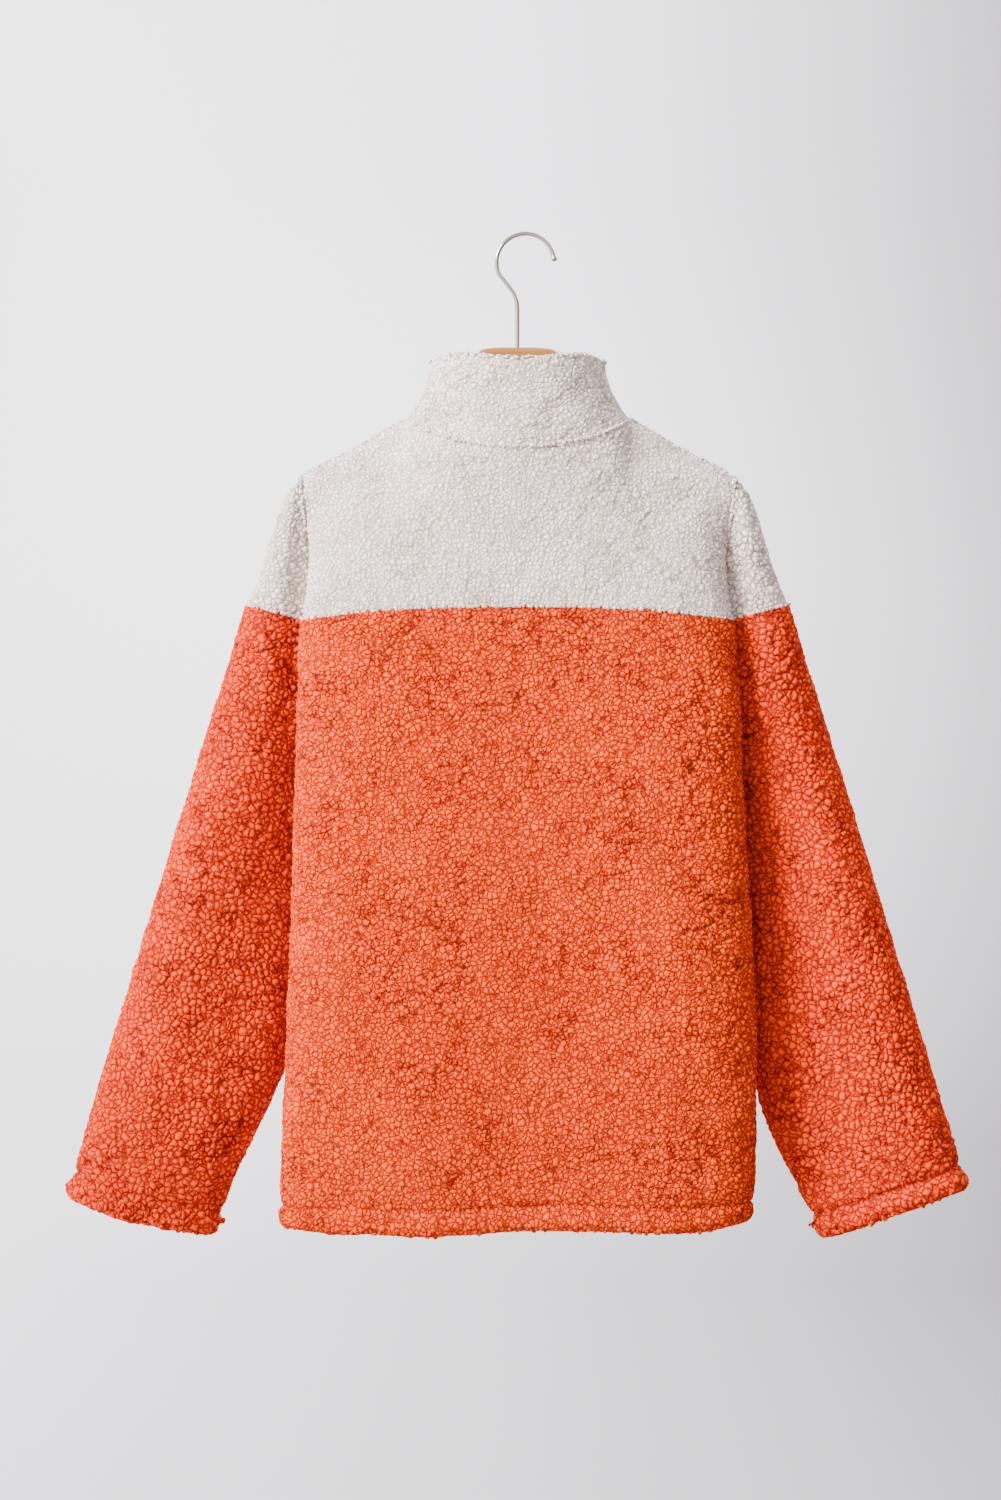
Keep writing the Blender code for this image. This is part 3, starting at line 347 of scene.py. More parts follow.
def knit_backing(name, yarn):
    """The plain knitted ground on the inside. Its ribs are 2.4 mm apart, twice as coarse as real
    ones, so that they show."""
    made, tree, shader = new_material(name, Roughness=0.9, Sheen_Weight=0.2)
    where = add(tree, "ShaderNodeTexCoord")
    ribs = add(
        tree,
        "ShaderNodeTexWave",
        {"Vector": where.outputs["Object"], "Scale": 130.0, "Distortion": 2.0, "Detail": 2.0},
        bands_direction="X",
    )
    loops = add(
        tree,
        "ShaderNodeTexWave",
        {"Vector": where.outputs["Object"], "Scale": 170.0, "Distortion": 1.5},
        bands_direction="Z",
    )
    both = add(
        tree, "ShaderNodeMath", {0: ribs.outputs["Fac"], 1: loops.outputs["Fac"]}, operation="MULTIPLY"
    )
    ramp = add(tree, "ShaderNodeValToRGB", {"Fac": both.outputs[0]})
    ramp.color_ramp.elements[0].color = tuple(0.78 * c for c in colour(yarn)[:3]) + (1.0,)
    ramp.color_ramp.elements[1].color = colour(yarn)
    tree.links.new(ramp.outputs["Color"], shader.inputs["Base Color"])
    relief = add(
        tree, "ShaderNodeBump", {"Height": both.outputs[0], "Strength": 0.5, "Distance": 0.3 * MM}
    )
    tree.links.new(relief.outputs[0], shader.inputs["Normal"])
    return made


# Each set: a cleft's painted shade, a flank's dye and a top's painted highlight. The sleeves' sets are a
# little deeper than the body's: more painted shade.
CREAM_DYES_AND_PAINTED_LIGHT = ("A08A7C", "CEBBB0", "F0DED4")
CREAM_SLEEVE_DYES_AND_PAINTED_LIGHT = ("927864", "CAB7AA", "F0DED2")
ORANGE_DYES_AND_PAINTED_LIGHT = ("661608", "BE2D04", "F85000")
SLEEVE_DYES_AND_PAINTED_LIGHT = ("62120A", "BA2708", "F44404")
PILE = {
    "cream": sherpa("cream_sherpa_pile", CURL["cream"], CREAM_DYES_AND_PAINTED_LIGHT, 0.03, 0.8),
    "cream_sleeve": sherpa("cream_sleeve_pile", CURL["cream_sleeve"], CREAM_SLEEVE_DYES_AND_PAINTED_LIGHT, 0.03, 1.0),
    "orange": sherpa("orange_sherpa_pile", CURL["orange"], ORANGE_DYES_AND_PAINTED_LIGHT, 0.02, 1.0),
    "orange_sleeve": sherpa("orange_sleeve_pile", CURL["orange_sleeve"], SLEEVE_DYES_AND_PAINTED_LIGHT, 0.02, 1.0),
}
BACKING = {
    "cream": knit_backing("cream_knit_backing", "C2B9AF"),
    "orange": knit_backing("orange_knit_backing", "C43C1A"),
}

# %% [markdown]
# ## Which side is which
#
# Each cloth solid is a closed wall, 5 mm thick: an outside, an inside, and a narrow rim along each
# seam. Only the outside carries pile. A face belongs to a rim when no opposite side lies a cloth's
# thickness behind it. The other faces are outside when they look away from the middle of the tube
# that they wrap, so each tube gets a simple middle: a line across the body, one down each sleeve.

# %% Sides of the cloth
# A sleeve's edges: height, and how far out from the middle of the body.
SLEEVE_INNER = (
    (-0.855, 0.260), (-0.785, 0.222), (-0.704, 0.196), (-0.622, 0.186), (-0.445, 0.171), (-0.3, 0.15)
)
SLEEVE_OUTER = ((-0.816, 0.389), (-0.42, 0.266), (-0.316, 0.233), (-0.208, 0.188))
SLEEVE_MIDDLE_Y = 0.016
SHOULDER_MIDDLE_Z = -0.235
HEM_Z, COLLAR_TOP_Z = -0.849, -0.104
CUFF_SLOPE = 0.302
FLUTE_PITCH, FLUTE_AT, HEM_WAVE = 0.225, -0.085, 0.0025
THICKEST_CLOTH = 12.5 * MM
FREE_RIM = 4 * MM
PILE_SIDE, BACK_SIDE = 0, 1


def tube_middle(node, p):
    """The nearest point in the middle of the tube that a node's wall belongs to."""
    side = 1 if p.x > 0 else -1
    z = min(p.z, SHOULDER_MIDDLE_Z)
    if node == "collar":
        return Vector((max(-0.035, min(0.035, p.x)), 0, p.z))
    if "sleeve" not in node:
        return Vector((max(-0.15, min(0.15, p.x)), 0, z))
    low = float(np.interp(p.z, *zip(*SLEEVE_INNER))) + 0.03
    high = float(np.interp(p.z, *zip(*SLEEVE_OUTER))) - 0.03
    return Vector((side * max(min(abs(p.x), high), min(low, high)), SLEEVE_MIDDLE_Y, z))


def cuff_height(x):
    """The cuff's edge rises outwards, from the inner corner to the outer."""
    corner_z, farthest = SLEEVE_OUTER[0]
    return corner_z - (farthest - abs(x)) * CUFF_SLOPE


def from_free_edge(node, x, z):
    """How far above the hem, the cuff's edge or below the collar's top a place lies."""
    if "sleeve" in node:
        return (z - cuff_height(x)) * 0.957  # the cosine of the slope
    if node == "collar":
        return COLLAR_TOP_Z - z
    return z - HEM_Z + HEM_WAVE * np.cos(2 * math.pi * (x - FLUTE_AT) / FLUTE_PITCH)


def is_rim(tree, face):
    """No wall that looks the other way lies a cloth's thickness behind a rim."""
    hit = tree.ray_cast(face.calc_center_median() - face.normal * 1e-5, -face.normal, THICKEST_CLOTH)
    return hit[0] is None or hit[1].dot(face.normal) > -0.45


# %% [markdown]
# ## From the solid to cloth
#
# A copy of the solid's loose triangles is merged, its pairs of triangles are joined to quads, and
# one Subdivision Surface rounds it. Seams are creased, so that neighbours keep meeting along them,
# but the hem, the cuffs and the collar's top are left round. Then only the outside is cut finer, in
# thirds and halves, until its edges are short enough to carry the knobs.

# %% Cloth cage
def copy_of(node, name):
    """A merged copy of a node's mesh, as an object of its own."""
    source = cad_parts[node]
    made = bpy.data.objects.new(name, source.data.copy())
    made.data.materials.clear()
    bpy.context.scene.collection.objects.link(made)
    deselect()
    bpy.context.view_layer.objects.active = made
    made.select_set(True)
    bpy.ops.object.mode_set(mode="EDIT")
    bpy.ops.mesh.select_all(action="SELECT")
    bpy.ops.mesh.remove_doubles(threshold=0.00001)
    bpy.ops.object.mode_set(mode="OBJECT")
    return made


def mark_sides(piece, node):
    """Give the outside the pile's material and the rest the backing's, and crease the seams."""
    bm = bmesh.new()
    bm.from_mesh(piece.data)
    bm.normal_update()
    tree = BVHTree.FromBMesh(bm)
    counts = {"outside": 0, "inside": 0, "rim": 0}
    rims = set()
    for face in bm.faces:
        centre = face.calc_center_median()
        if is_rim(tree, face):
            free = from_free_edge(node, centre.x, centre.z) < FREE_RIM
            free = free and node not in ("back_yoke", "front_yoke_left", "front_yoke_right")
            face.material_index = PILE_SIDE if free else BACK_SIDE
            rims.add(face)
            face.tag = bool(free)
            counts["rim"] += 1
        elif face.normal.dot(centre - tube_middle(node, centre)) > 0:
            face.material_index = PILE_SIDE
            counts["outside"] += 1
        else:
            face.material_index = BACK_SIDE
            counts["inside"] += 1
    crease = bm.edges.layers.float.new("crease_edge")
    for edge in bm.edges:
        on_rim = [face for face in edge.link_faces if face in rims]
        if len(on_rim) == 1 and not on_rim[0].tag:
            edge[crease] = 1.0
    bm.to_mesh(piece.data)
    bm.free()
    print(node, counts)


def apply(piece, modifier):
    bpy.context.view_layer.objects.active = piece
    bpy.ops.object.modifier_apply(modifier=modifier.name)


def rounded_cage(piece):
    """Quads from the triangles, then one round of subdivision."""
    bpy.context.view_layer.objects.active = piece
    bpy.ops.object.mode_set(mode="EDIT")
    bpy.ops.mesh.select_all(action="SELECT")
    bpy.ops.mesh.tris_convert_to_quads(face_threshold=0.9, shape_threshold=0.9, materials=True)
    bpy.ops.object.mode_set(mode="OBJECT")
    smooth = piece.modifiers.new("rounding", "SUBSURF")
    smooth.levels = smooth.render_levels = 1
    apply(piece, smooth)


def refine(piece, spacing):
    """Cut the outside's long edges in thirds twice, then in halves."""
    bm = bmesh.new()
    bm.from_mesh(piece.data)
    for factor, cuts in ((3.15, 2), (2.1, 2), (1.2, 1)):
        longer = [
            edge
            for edge in bm.edges
            if edge.calc_length() > factor * spacing
            and any(face.material_index == PILE_SIDE for face in edge.link_faces)
        ]
        bmesh.ops.subdivide_edges(bm, edges=longer, cuts=cuts, use_grid_fill=True)
    bm.to_mesh(piece.data)
    bm.free()


# %% [markdown]
# ## Raising the curls
#
# Geometry Nodes do the moving, and then the modifier is applied. Three attributes steer it. "pile"
# is 1 where the curls stand, less where the turned-up hem is stitched down and 0 inside. "sink"
# presses the cloth in along the stitch line, and below zero it lifts the cloth by what the clefts
# take from its size. "press" darkens the stitch line with painted shade. The free edges are also
# drawn to where the worn cloth hangs, a few millimetres off the even line of the cut.

# %% Curls in the mesh
CURL_DEPTH = {"cream": 1.1 * MM, "cream_sleeve": 1.5 * MM, "orange": 1.5 * MM, "orange_sleeve": 1.9 * MM}
WRINKLE_DEPTH = 0.8 * MM
LUMPS = (-1.0 * MM, 0.3 * MM)  # the pile's uneven height over a few curls


def curls_tree(name, curl, depth):
    tree = bpy.data.node_groups.new(name, "GeometryNodeTree")
    tree.interface.new_socket("Geometry", in_out="INPUT", socket_type="NodeSocketGeometry")
    tree.interface.new_socket("Geometry", in_out="OUTPUT", socket_type="NodeSocketGeometry")
    enter = add(tree, "NodeGroupInput")
    place = add(tree, "GeometryNodeInputPosition").outputs[0]
    keep = add(
        tree,
        "GeometryNodeStoreNamedAttribute",
        {"Geometry": enter.outputs[0], "Name": "rest"},
        data_type="FLOAT_VECTOR",
        domain="POINT",
    )
    tree.links.new(place, next(s for s in keep.inputs if s.name == "Value" and s.type == "VECTOR"))
    pile = add(
        tree, "GeometryNodeInputNamedAttribute", {"Name": "pile"}, data_type="FLOAT"
    ).outputs["Attribute"]
    sink = add(
        tree, "GeometryNodeInputNamedAttribute", {"Name": "sink"}, data_type="FLOAT"
    ).outputs["Attribute"]
    press = add(
        tree, "GeometryNodeInputNamedAttribute", {"Name": "press"}, data_type="FLOAT"
    ).outputs["Attribute"]
    # The stitch line is stored with the wrinkles, so the material paints shade into it as well.
    faint = add(tree, "ShaderNodeMath", {0: press, 1: 0.4}, operation="MULTIPLY").outputs[0]
    deeper = add(tree, "ShaderNodeMath", {0: wrinkle_depth(tree, place), 1: faint}, operation="MAXIMUM")
    wrinkle = deeper.outputs[0]
    keep_wrinkle = add(
        tree,
        "GeometryNodeStoreNamedAttribute",
        {"Geometry": keep.outputs[0], "Name": "wrinkle"},
        data_type="FLOAT",
        domain="POINT",
    )
    tree.links.new(
        wrinkle, next(s for s in keep_wrinkle.inputs if s.name == "Value" and s.type == "VALUE")
    )
    patches = add(tree, "ShaderNodeTexNoise", {"Vector": place, "Scale": 30.0, "Detail": 3.0})
    keep_tone = add(
        tree,
        "GeometryNodeStoreNamedAttribute",
        {"Geometry": keep_wrinkle.outputs[0], "Name": "tone"},
        data_type="FLOAT",
        domain="POINT",
    )
    tree.links.new(
        patches.outputs["Fac"],
        next(s for s in keep_tone.inputs if s.name == "Value" and s.type == "VALUE"),
    )
    low = add(tree, "ShaderNodeMath", {0: knob_height(tree, place, curl), 1: 1.0}, operation="SUBTRACT")
    cleft = add(tree, "ShaderNodeMath", {0: low.outputs[0], 1: depth}, operation="MULTIPLY")
    crease = add(
        tree,
        "ShaderNodeMath",
        {0: wrinkle, 1: -WRINKLE_DEPTH, 2: cleft.outputs[0]},
        operation="MULTIPLY_ADD",
    )
    lumps = add(tree, "ShaderNodeTexNoise", {"Vector": place, "Scale": 45.0, "Detail": 2.0})
    lump = add(
        tree,
        "ShaderNodeMapRange",
        {
            "Value": lumps.outputs["Fac"],
            "From Min": 0.3,
            "From Max": 0.7,
            "To Min": LUMPS[0],
            "To Max": LUMPS[1],
        },
    )
    both = add(tree, "ShaderNodeMath", {0: crease.outputs[0], 1: lump.outputs[0]}, operation="ADD")
    kept = add(tree, "ShaderNodeMath", {0: both.outputs[0], 1: pile}, operation="MULTIPLY")
    total = add(tree, "ShaderNodeMath", {0: kept.outputs[0], 1: sink}, operation="SUBTRACT")
    normal = add(tree, "GeometryNodeInputNormal").outputs[0]
    shift = add(tree, "ShaderNodeVectorMath", {0: normal, "Scale": total.outputs[0]}, operation="SCALE")
    moved = add(
        tree, "GeometryNodeSetPosition", {"Geometry": keep_tone.outputs[0], "Offset": shift.outputs[0]}
    )
    leave = add(tree, "NodeGroupOutput")
    tree.links.new(moved.outputs[0], leave.inputs[0])
    return tree


RAISE = {pile: curls_tree("raise_" + pile, CURL[pile], CURL_DEPTH[pile]) for pile in CURL}
STITCH_LINE = 20 * MM
STITCH_WIDTH = 1.9 * MM
STITCH_DEPTH = 2.2 * MM
SEAM_SINK = -0.4 * MM
FULLNESS = {"cream": 1.3 * MM, "orange": 2.2 * MM}
SIDE_SEAM_X = 0.155  # from here out the body's sides stand fuller near the hem
WORN_EDGE = 90 * MM  # how far up from a free edge its sag reaches
SLEEVE_HALF = 0.065

# How far the worn edges hang below the cut, in mm, by the place across in metres.
CUFF_DROP = (
    (-0.39, 6.0), (-0.368, 9.5), (-0.344, 12.0), (-0.32, 10.0), (-0.285, 7.0), (-0.255, 3.0),
    (0.255, 7.0), (0.29, 6.0), (0.315, 3.5), (0.36, 1.0), (0.39, 0.0),
)
HEM_DROP = ((-0.2, 3.4), (-0.165, 2.6), (-0.13, -0.9), (0.05, 0.0), (0.11, -2.5), (0.2, -3.4))
# How far the left sleeve's inner edge lies back from the solid's, in mm, by height in metres.
SLEEVE_SLIM = ((-0.84, 0.0), (-0.824, 3.5), (-0.8, 8.0), (-0.772, 7.5), (-0.744, 4.0), (-0.72, 0.0))


def steer(piece, node, dye):
    """Write the attributes that say where the curls stand and where the cloth is pressed in."""
    mesh = piece.data
    count = len(mesh.vertices)
    on_pile, on_back = np.zeros(count), np.zeros(count)
    for face in mesh.polygons:
        (on_pile if face.material_index == PILE_SIDE else on_back)[list(face.vertices)] = 1
    at = np.empty(count * 3)
    mesh.vertices.foreach_get("co", at)
    at = at.reshape(-1, 3)
    pile = on_pile * (1 - on_back)
    seam = on_pile * on_back
    sink = seam * SEAM_SINK - pile * FULLNESS[dye]
    press = np.zeros(count)
    if node in ("back_body", "front_body", "sleeve_left", "sleeve_right"):
        way = from_free_edge(node, at[:, 0], at[:, 2])
        low = np.clip(1 - way / (12 * MM), 0, 1)
        side = np.clip((np.abs(at[:, 0]) - SIDE_SEAM_X) / 0.03, 0, 1) * ("body" in node)
        band = np.clip(1 - way / (16 * MM), 0, 1)
        sink += (side * (3 * MM * band - 1.5 * MM) - (1 - side) * 2.5 * MM * low) * pile
        seam = seam * (way > 7 * MM)
        press = np.exp(-(((way - STITCH_LINE) / STITCH_WIDTH) ** 2)) * on_pile
        pile = pile * (1 - 0.5 * press)
        sink += STITCH_DEPTH * press
        near = np.clip(1 - way / WORN_EDGE, 0, 1)
        drop = np.interp(at[:, 0], *zip(*(CUFF_DROP if "sleeve" in node else HEM_DROP)))
        at[:, 2] -= MM * drop * near * near * (3 - 2 * near)
        if "sleeve" in node:
            inward = np.abs(at[:, 0]) - np.interp(at[:, 2], *zip(*SLEEVE_INNER))
            slim = np.interp(at[:, 2], *zip(*SLEEVE_SLIM)) * (at[:, 0] < 0)
            at[:, 0] -= MM * slim * np.clip(1 - inward / SLEEVE_HALF, 0, 1)
        mesh.vertices.foreach_set("co", at.ravel())
    for name, values in (("pile", pile), ("sink", sink), ("seam", seam), ("press", press)):
        layer = mesh.attributes.new(name, "FLOAT", "POINT")
        layer.data.foreach_set("value", values.astype(np.float32))


# %% [markdown]
# ## The cut pieces
#
# One row a piece: its dye, how short its edges are cut, and the flat size that the maker cut it to,
# with the area of the cut where it isn't a rectangle.

# %% Table of cloth
CLOTH = (
    ("back_yoke", "cream", 1.85, (0.43, 0.18), 0.057, "hanger_board"),
    ("front_yoke_left", "cream", 1.85, (0.22, 0.20), 0.025, "hanger_board"),
    ("front_yoke_right", "cream", 1.85, (0.22, 0.20), 0.025, "hanger_board"),
    ("collar", "cream", 1.6, (0.47, 0.08), 0.031, "back_yoke_cloth"),
    ("sleeve_top_left", "cream_sleeve", 1.7, (0.20, 0.12), 0.011, "back_yoke_cloth"),
    ("sleeve_top_right", "cream_sleeve", 1.7, (0.20, 0.12), 0.011, "back_yoke_cloth"),
    ("back_body", "orange", 2.15, (0.50, 0.54), 0.24, "back_yoke_cloth"),
    ("front_body", "orange", 2.15, (0.48, 0.54), 0.21, "front_yoke_left_cloth"),
    ("sleeve_left", "orange_sleeve", 1.95, (0.36, 0.52), 0.15, "sleeve_top_left_cloth"),
    ("sleeve_right", "orange_sleeve", 1.95, (0.36, 0.52), 0.15, "sleeve_top_right_cloth"),
)


def make_cloth(node, pile, spacing):
    dye = pile.split("_")[0]
    piece = copy_of(node, node + "_cloth")
    mark_sides(piece, node)
    rounded_cage(piece)
    refine(piece, spacing * MM * (1.0))
    steer(piece, node, dye)
    for finish in (PILE[pile], BACKING[dye]):
        piece.data.materials.append(finish)
    curls = piece.modifiers.new("curls", "NODES")
    curls.node_group = RAISE[pile]
    apply(piece, curls)
    piece.data.shade_smooth()
    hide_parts(node)
    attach(piece, "garment")
    return piece


cloth = {}
for node, pile, spacing, flat, area, hangs_from in CLOTH:
    cloth[node] = make_cloth(node, pile, spacing)
    skin = sum(face.area for face in cloth[node].data.polygons) / 2
    triangles = sum(len(face.vertices) - 2 for face in cloth[node].data.polygons)
    print(f"{node}: {triangles} triangles, {skin:.4f} square metres of cloth")

# %% [markdown]
# ## Curls along the seams and edges
#
# Where two pieces are sewn together, the pile of both stands over the stitching and hides it. At the
# colour seam only the cream curls do, and they hang a little way over the orange. At the hem, the
# cuffs and the collar's top single curls stand out from the edge. One curl is modelled as a small
# flattened ball, and Geometry Nodes set a copy of it on points that are picked along those lines,
# each turned the way that the cloth faces there.

# %% One curl
deselect()
bpy.ops.mesh.primitive_ico_sphere_add(subdivisions=2, radius=1.0)
knob = bpy.context.object
knob.name = "one_curl"
bpy.ops.object.mode_set(mode="EDIT")
bpy.ops.mesh.select_all(action="SELECT")
bpy.ops.transform.resize(value=(2.1 * MM, 1.7 * MM, 1.3 * MM))
bpy.ops.object.mode_set(mode="OBJECT")
bpy.ops.object.shade_smooth()


# %% Points along the seams
CURLS_APART = 2.4 * MM
COLOUR_SEAM_Z = -0.347  # above it the cream curls alone stand over the seam
CREAM_NODES = tuple(row[0] for row in CLOTH if row[1].startswith("cream"))


def scatter_tree(name, finish):
    """A copy of the curl on each point, of a random size and turn, keeping its place as "rest"."""
    tree = bpy.data.node_groups.new(name, "GeometryNodeTree")
    tree.interface.new_socket("Geometry", in_out="INPUT", socket_type="NodeSocketGeometry")
    tree.interface.new_socket("Geometry", in_out="OUTPUT", socket_type="NodeSocketGeometry")
    enter = add(tree, "NodeGroupInput")
    curl = add(tree, "GeometryNodeObjectInfo", {"Object": knob}).outputs["Geometry"]
    facing = add(
        tree, "GeometryNodeInputNamedAttribute", {"Name": "facing"}, data_type="FLOAT_VECTOR"
    ).outputs["Attribute"]
    upright = add(tree, "FunctionNodeAlignEulerToVector", {"Vector": facing}, axis="Z")
    turn = add(tree, "FunctionNodeRandomValue", {"Seed": 3}, data_type="FLOAT_VECTOR")
    turn.inputs[0].default_value, turn.inputs[1].default_value = (-0.5, -0.5, -3.1), (0.5, 0.5, 3.1)
    turned = add(
        tree,
        "FunctionNodeRotateEuler",
        {"Rotation": upright.outputs[0]},
        rotation_type="EULER",
        space="LOCAL",
    )
    tree.links.new(turn.outputs[0], turned.inputs["Rotate By"])
    size = add(tree, "FunctionNodeRandomValue", {"Seed": 5}, data_type="FLOAT")
    size.inputs[2].default_value, size.inputs[3].default_value = 0.7, 1.2
    copies = add(
        tree,
        "GeometryNodeInstanceOnPoints",
        {"Points": enter.outputs[0], "Instance": curl, "Rotation": turned.outputs[0]},
    )
    tree.links.new(size.outputs[1], copies.inputs["Scale"])
    real = add(tree, "GeometryNodeRealizeInstances", {"Geometry": copies.outputs[0]})
    place = add(tree, "GeometryNodeInputPosition").outputs[0]
    keep = add(
        tree,
        "GeometryNodeStoreNamedAttribute",
        {"Geometry": real.outputs[0], "Name": "rest"},
        data_type="FLOAT_VECTOR",
        domain="POINT",
    )
    tree.links.new(place, next(s for s in keep.inputs if s.name == "Value" and s.type == "VECTOR"))
    even = add(
        tree,
        "GeometryNodeStoreNamedAttribute",
        {"Geometry": keep.outputs[0], "Name": "tone"},
        data_type="FLOAT",
        domain="POINT",
    )
    next(s for s in even.inputs if s.name == "Value" and s.type == "VALUE").default_value = 0.6
    dyed = add(tree, "GeometryNodeSetMaterial", {"Geometry": even.outputs[0], "Material": finish})
    leave = add(tree, "NodeGroupOutput")
    tree.links.new(dyed.outputs[0], leave.inputs[0])
    return tree


def line_points(node, chance):
    """Places on a piece's outer seam line and free edge, and the way that the cloth faces there."""
    mesh = cloth[node].data
    count = len(mesh.vertices)
    at, facing = np.empty(count * 3), np.empty(count * 3)
    mesh.vertices.foreach_get("co", at)
    mesh.vertices.foreach_get("normal", facing)
    at, facing = at.reshape(-1, 3), facing.reshape(-1, 3)
    pile, seam = np.empty(count, np.float32), np.empty(count, np.float32)
    mesh.attributes["pile"].data.foreach_get("value", pile)
    mesh.attributes["seam"].data.foreach_get("value", seam)
    picked = (seam > 0.5) & (luck.random(count) < chance)
    if not node.startswith(CREAM_NODES):
        picked &= at[:, 2] < COLOUR_SEAM_Z
    if "yoke" not in node and "top" not in node:
        near_edge = from_free_edge(node, at[:, 0], at[:, 2]) < 3.5 * MM
        share = 0.55 if node == "collar" else 0.3
        near_edge &= (np.abs(at[:, 0]) > 0.264) | ("sleeve" not in node)
        picked |= (pile > 0.4) & near_edge & (luck.random(count) < share * chance)
    lift = np.where(seam > 0.5, 0.5 * MM, -0.2 * MM)[:, None]
    places, ways = (at + facing * lift)[picked], facing[picked]
    apart = np.unique(np.round(places / CURLS_APART), axis=0, return_index=True)[1]
    return places[apart], ways[apart]


def set_curls(dye, nodes, chance):
    places, ways = (np.concatenate(part) for part in zip(*(line_points(node, chance) for node in nodes)))
    mesh = bpy.data.meshes.new(dye + "_edge_curls")
    mesh.from_pydata(places.tolist(), [], [])
    layer = mesh.attributes.new("facing", "FLOAT_VECTOR", "POINT")
    layer.data.foreach_set("vector", ways.astype(np.float32).ravel())
    piece = bpy.data.objects.new(dye + "_edge_curls", mesh)
    bpy.context.scene.collection.objects.link(piece)
    scatter = piece.modifiers.new("scatter", "NODES")
    scatter.node_group = scatter_tree("set_" + dye, PILE[dye])
    deselect()
    piece.select_set(True)
    apply(piece, scatter)
    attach(piece, "garment")
    print(piece.name, len(places), "curls,", len(piece.data.polygons), "faces")


luck = np.random.default_rng(11)
set_curls("cream", [row[0] for row in CLOTH if row[1].startswith("cream")], 0.6)
set_curls("orange", [row[0] for row in CLOTH if row[1].startswith("orange")], 0.3)
bpy.data.objects.remove(knob)

# %% [markdown]
# ## The hanger and its hook
#
# The board is beech under a clear satin lacquer, warm and evenly grained, sawn with the grain
# along its arms. The hook is steel wire with a thin pale brass plating, drawn smooth.

# %% Wood and wire
def beech():
    made, tree, shader = new_material(
        "lacquered_beech", Roughness=0.45, Coat_Weight=0.1, Coat_Roughness=0.25
    )
    where = add(tree, "ShaderNodeTexCoord")
    grain = add(
        tree, "ShaderNodeMapping", {"Vector": where.outputs["Object"], "Scale": (9.0, 160.0, 110.0)}
    )
    streaks = add(
        tree,
        "ShaderNodeTexNoise",
        {"Vector": grain.outputs[0], "Scale": 1.0, "Detail": 5.0, "Roughness": 0.6},
    )
    ramp = add(tree, "ShaderNodeValToRGB", {"Fac": streaks.outputs["Fac"]})
    ramp.color_ramp.elements[0].position, ramp.color_ramp.elements[1].position = 0.32, 0.68
    ramp.color_ramp.elements[0].color = colour("784816")
    ramp.color_ramp.elements[1].color = colour("986222")
    tree.links.new(ramp.outputs["Color"], shader.inputs["Base Color"])
    relief = add(
        tree,
        "ShaderNodeBump",
        {"Height": streaks.outputs["Fac"], "Strength": 0.2, "Distance": 0.1 * MM},
    )
    tree.links.new(relief.outputs[0], shader.inputs["Normal"])
    return made


def plated_wire(name, tone, roughness, rim="FFFFFF"):
    """Drawn or pressed metal: fine scratches break up the highlight along it. rim tints the edges."""
    made, tree, shader = new_material(name, Metallic=1.0)
    shader.inputs["Specular Tint"].default_value = colour(rim)
    where = add(tree, "ShaderNodeTexCoord")
    marks = add(
        tree, "ShaderNodeTexNoise", {"Vector": where.outputs["Object"], "Scale": 2200.0, "Detail": 2.0}
    )
    spread = add(
        tree,
        "ShaderNodeMapRange",
        {"Value": marks.outputs["Fac"], "To Min": roughness - 0.08, "To Max": roughness + 0.1},
    )
    tree.links.new(spread.outputs[0], shader.inputs["Roughness"])
    patches = add(
        tree, "ShaderNodeTexNoise", {"Vector": where.outputs["Object"], "Scale": 160.0, "Detail": 3.0}
    )
    ramp = add(tree, "ShaderNodeValToRGB", {"Fac": patches.outputs["Fac"]})
    ramp.color_ramp.elements[0].color = tuple(0.86 * c for c in colour(tone)[:3]) + (1.0,)
    ramp.color_ramp.elements[1].color = colour(tone)
    tree.links.new(ramp.outputs["Color"], shader.inputs["Base Color"])
    return made


def rounded_copy(node, name, finish, body="garment", width=0.0, levels=1, swell=0.0):
    """A node's shape with softer edges, standing in for it. swell gives back what rounding shrinks."""
    piece = copy_of(node, name)
    bpy.context.view_layer.objects.active = piece
    if width:
        soft = piece.modifiers.new("edges", "BEVEL")
        soft.width, soft.segments, soft.limit_method = width, 2, "ANGLE"
        soft.angle_limit = math.radians(40)
        apply(piece, soft)
    if levels:
        smooth = piece.modifiers.new("rounding", "SUBSURF")
        smooth.levels = smooth.render_levels = levels
        apply(piece, smooth)
    if swell:
        fuller = piece.modifiers.new("fuller", "DISPLACE")
        fuller.strength, fuller.mid_level = swell, 0
        apply(piece, fuller)
    piece.data.materials.append(finish)
    piece.data.shade_smooth()
    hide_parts(node)
    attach(piece, body)
    print(name, len(piece.data.polygons), "faces")
    return piece


rounded_copy("hanger", "hanger_board", beech())
rounded_copy(
    "hook",
    "hook_wire",
    plated_wire("pale_brass_plate", "B0A48E", 0.2, rim="4A3E2C"),
    swell=0.1 * MM,
)

# %% [markdown]
# ## The zip
#
# A closed half zip: two woven tapes behind the cloth's folded edges, a row of nickel-plated teeth
# on each that mesh in the middle, and the slider at the top with its tab hanging down. One tooth
# is modelled, an Array repeats it up the tape, and the row is then laid along the solid chain.

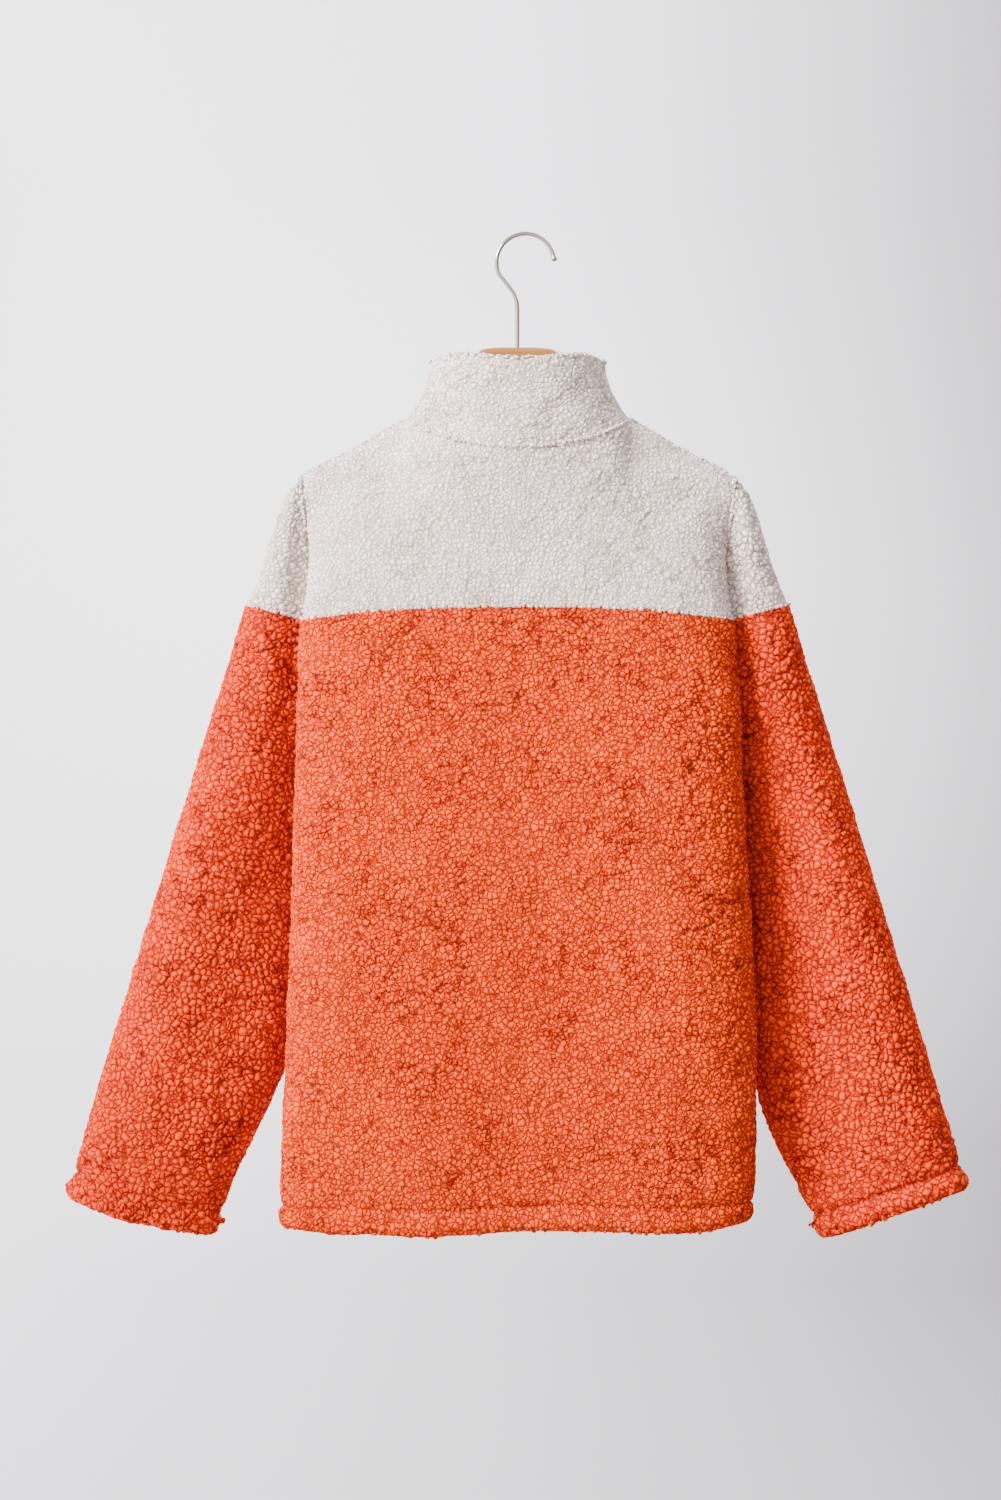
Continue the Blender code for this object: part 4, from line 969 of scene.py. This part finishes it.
# %% Tapes
def woven(name, yarn):
    """Woven polyester tape: threads 1.2 mm apart across and 1.6 mm down, coarser than real ones."""
    made, tree, shader = new_material(name, Roughness=0.8, Sheen_Weight=0.15)
    where = add(tree, "ShaderNodeTexCoord")
    warp = add(
        tree,
        "ShaderNodeTexWave",
        {"Vector": where.outputs["Object"], "Scale": 260.0, "Distortion": 0.6},
        bands_direction="X",
    )
    weft = add(
        tree,
        "ShaderNodeTexWave",
        {"Vector": where.outputs["Object"], "Scale": 200.0, "Distortion": 0.6},
        bands_direction="Z",
    )
    both = add(
        tree, "ShaderNodeMath", {0: warp.outputs["Fac"], 1: weft.outputs["Fac"]}, operation="MULTIPLY"
    )
    ramp = add(tree, "ShaderNodeValToRGB", {"Fac": both.outputs[0]})
    ramp.color_ramp.elements[0].color = tuple(0.75 * c for c in colour(yarn)[:3]) + (1.0,)
    ramp.color_ramp.elements[1].color = colour(yarn)
    tree.links.new(ramp.outputs["Color"], shader.inputs["Base Color"])
    relief = add(
        tree, "ShaderNodeBump", {"Height": both.outputs[0], "Strength": 0.6, "Distance": 0.2 * MM}
    )
    tree.links.new(relief.outputs[0], shader.inputs["Normal"])
    return made


tape_finish = woven("woven_zip_tape", "D9D0C4")
for side in ("left", "right"):
    tape = rounded_copy(
        "zip_tape_" + side, "tape_" + side, tape_finish, width=0.15 * MM, levels=0
    )

# %% Teeth
nickel = plated_wire("satin_nickel", "C9C4BC", 0.3)
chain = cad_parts["zip_chain"].data
path = np.array([v.co[:] for v in chain.vertices])
levels_z = np.unique(np.round(path[:, 2], 4))
stations = np.array([path[np.abs(path[:, 2] - z) < 0.0006].mean(axis=0) for z in levels_z])
low_z, high_z = path[:, 2].min() + 0.6 * MM, path[:, 2].max() - 0.6 * MM
PITCH = 2.6 * MM
TOOTH = (3.1 * MM, 2.1 * MM, 1.15 * MM)  # across, deep and high
TOOTH_SHIFT = 0.95 * MM


def row_of_teeth(side):
    """One tape's teeth: a block with bevelled edges, shifted so that it reaches past the middle."""
    deselect()
    bpy.ops.mesh.primitive_cube_add(size=1, location=(0, 0, 0))
    tooth = bpy.context.object
    tooth.name = "teeth_right" if side > 0 else "teeth_left"
    tooth.scale = TOOTH
    bpy.ops.object.transform_apply(location=False, rotation=False, scale=True)
    soft = tooth.modifiers.new("edges", "BEVEL")
    soft.width, soft.segments = 0.3 * MM, 1
    apply(tooth, soft)
    for vert in tooth.data.vertices:
        vert.co.x += side * TOOTH_SHIFT
    count = int((high_z - low_z) / PITCH)
    repeat = tooth.modifiers.new("row", "ARRAY")
    repeat.count = count
    repeat.use_relative_offset = False
    repeat.use_constant_offset = True
    repeat.constant_offset_displace = (0, 0, PITCH)
    apply(tooth, repeat)
    start = low_z + (0.25 if side > 0 else 0.75) * PITCH
    for vert in tooth.data.vertices:
        vert.co.z += start
        vert.co.y += float(np.interp(vert.co.z, stations[:, 2], stations[:, 1]))
    tooth.data.materials.append(nickel)
    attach(tooth, "garment")
    print(tooth.name, count, "teeth")
    return tooth


teeth = [row_of_teeth(side) for side in (-1, 1)]
for row in teeth:
    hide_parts("zip_chain")

# %% The tapes' beaded edges, which carry the teeth
BEAD_THICK = 0.8 * MM
BEAD_BEHIND = 0.9 * MM
BEAD_END = 3.5 * MM  # the tapes are joined a little below the last tooth
beads = copy_of("zip_chain", "tape_beads")
for vert in beads.data.vertices:
    if vert.co.z < low_z:
        vert.co.z -= BEAD_END
    middle = float(np.interp(vert.co.z, stations[:, 2], stations[:, 1]))
    vert.co.y = middle - BEAD_BEHIND + (BEAD_THICK / 2 if vert.co.y > middle else -BEAD_THICK / 2)
beads.data.materials.append(tape_finish)
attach(beads, "garment")
print("beads", len(beads.data.polygons), "faces")

# %% Slider and tab
rounded_copy("slider", "slider_body", nickel, width=0.3 * MM, levels=1)
rounded_copy("pull_tab", "slider_tab", nickel, body="pull_tab", width=0.25 * MM, levels=1)
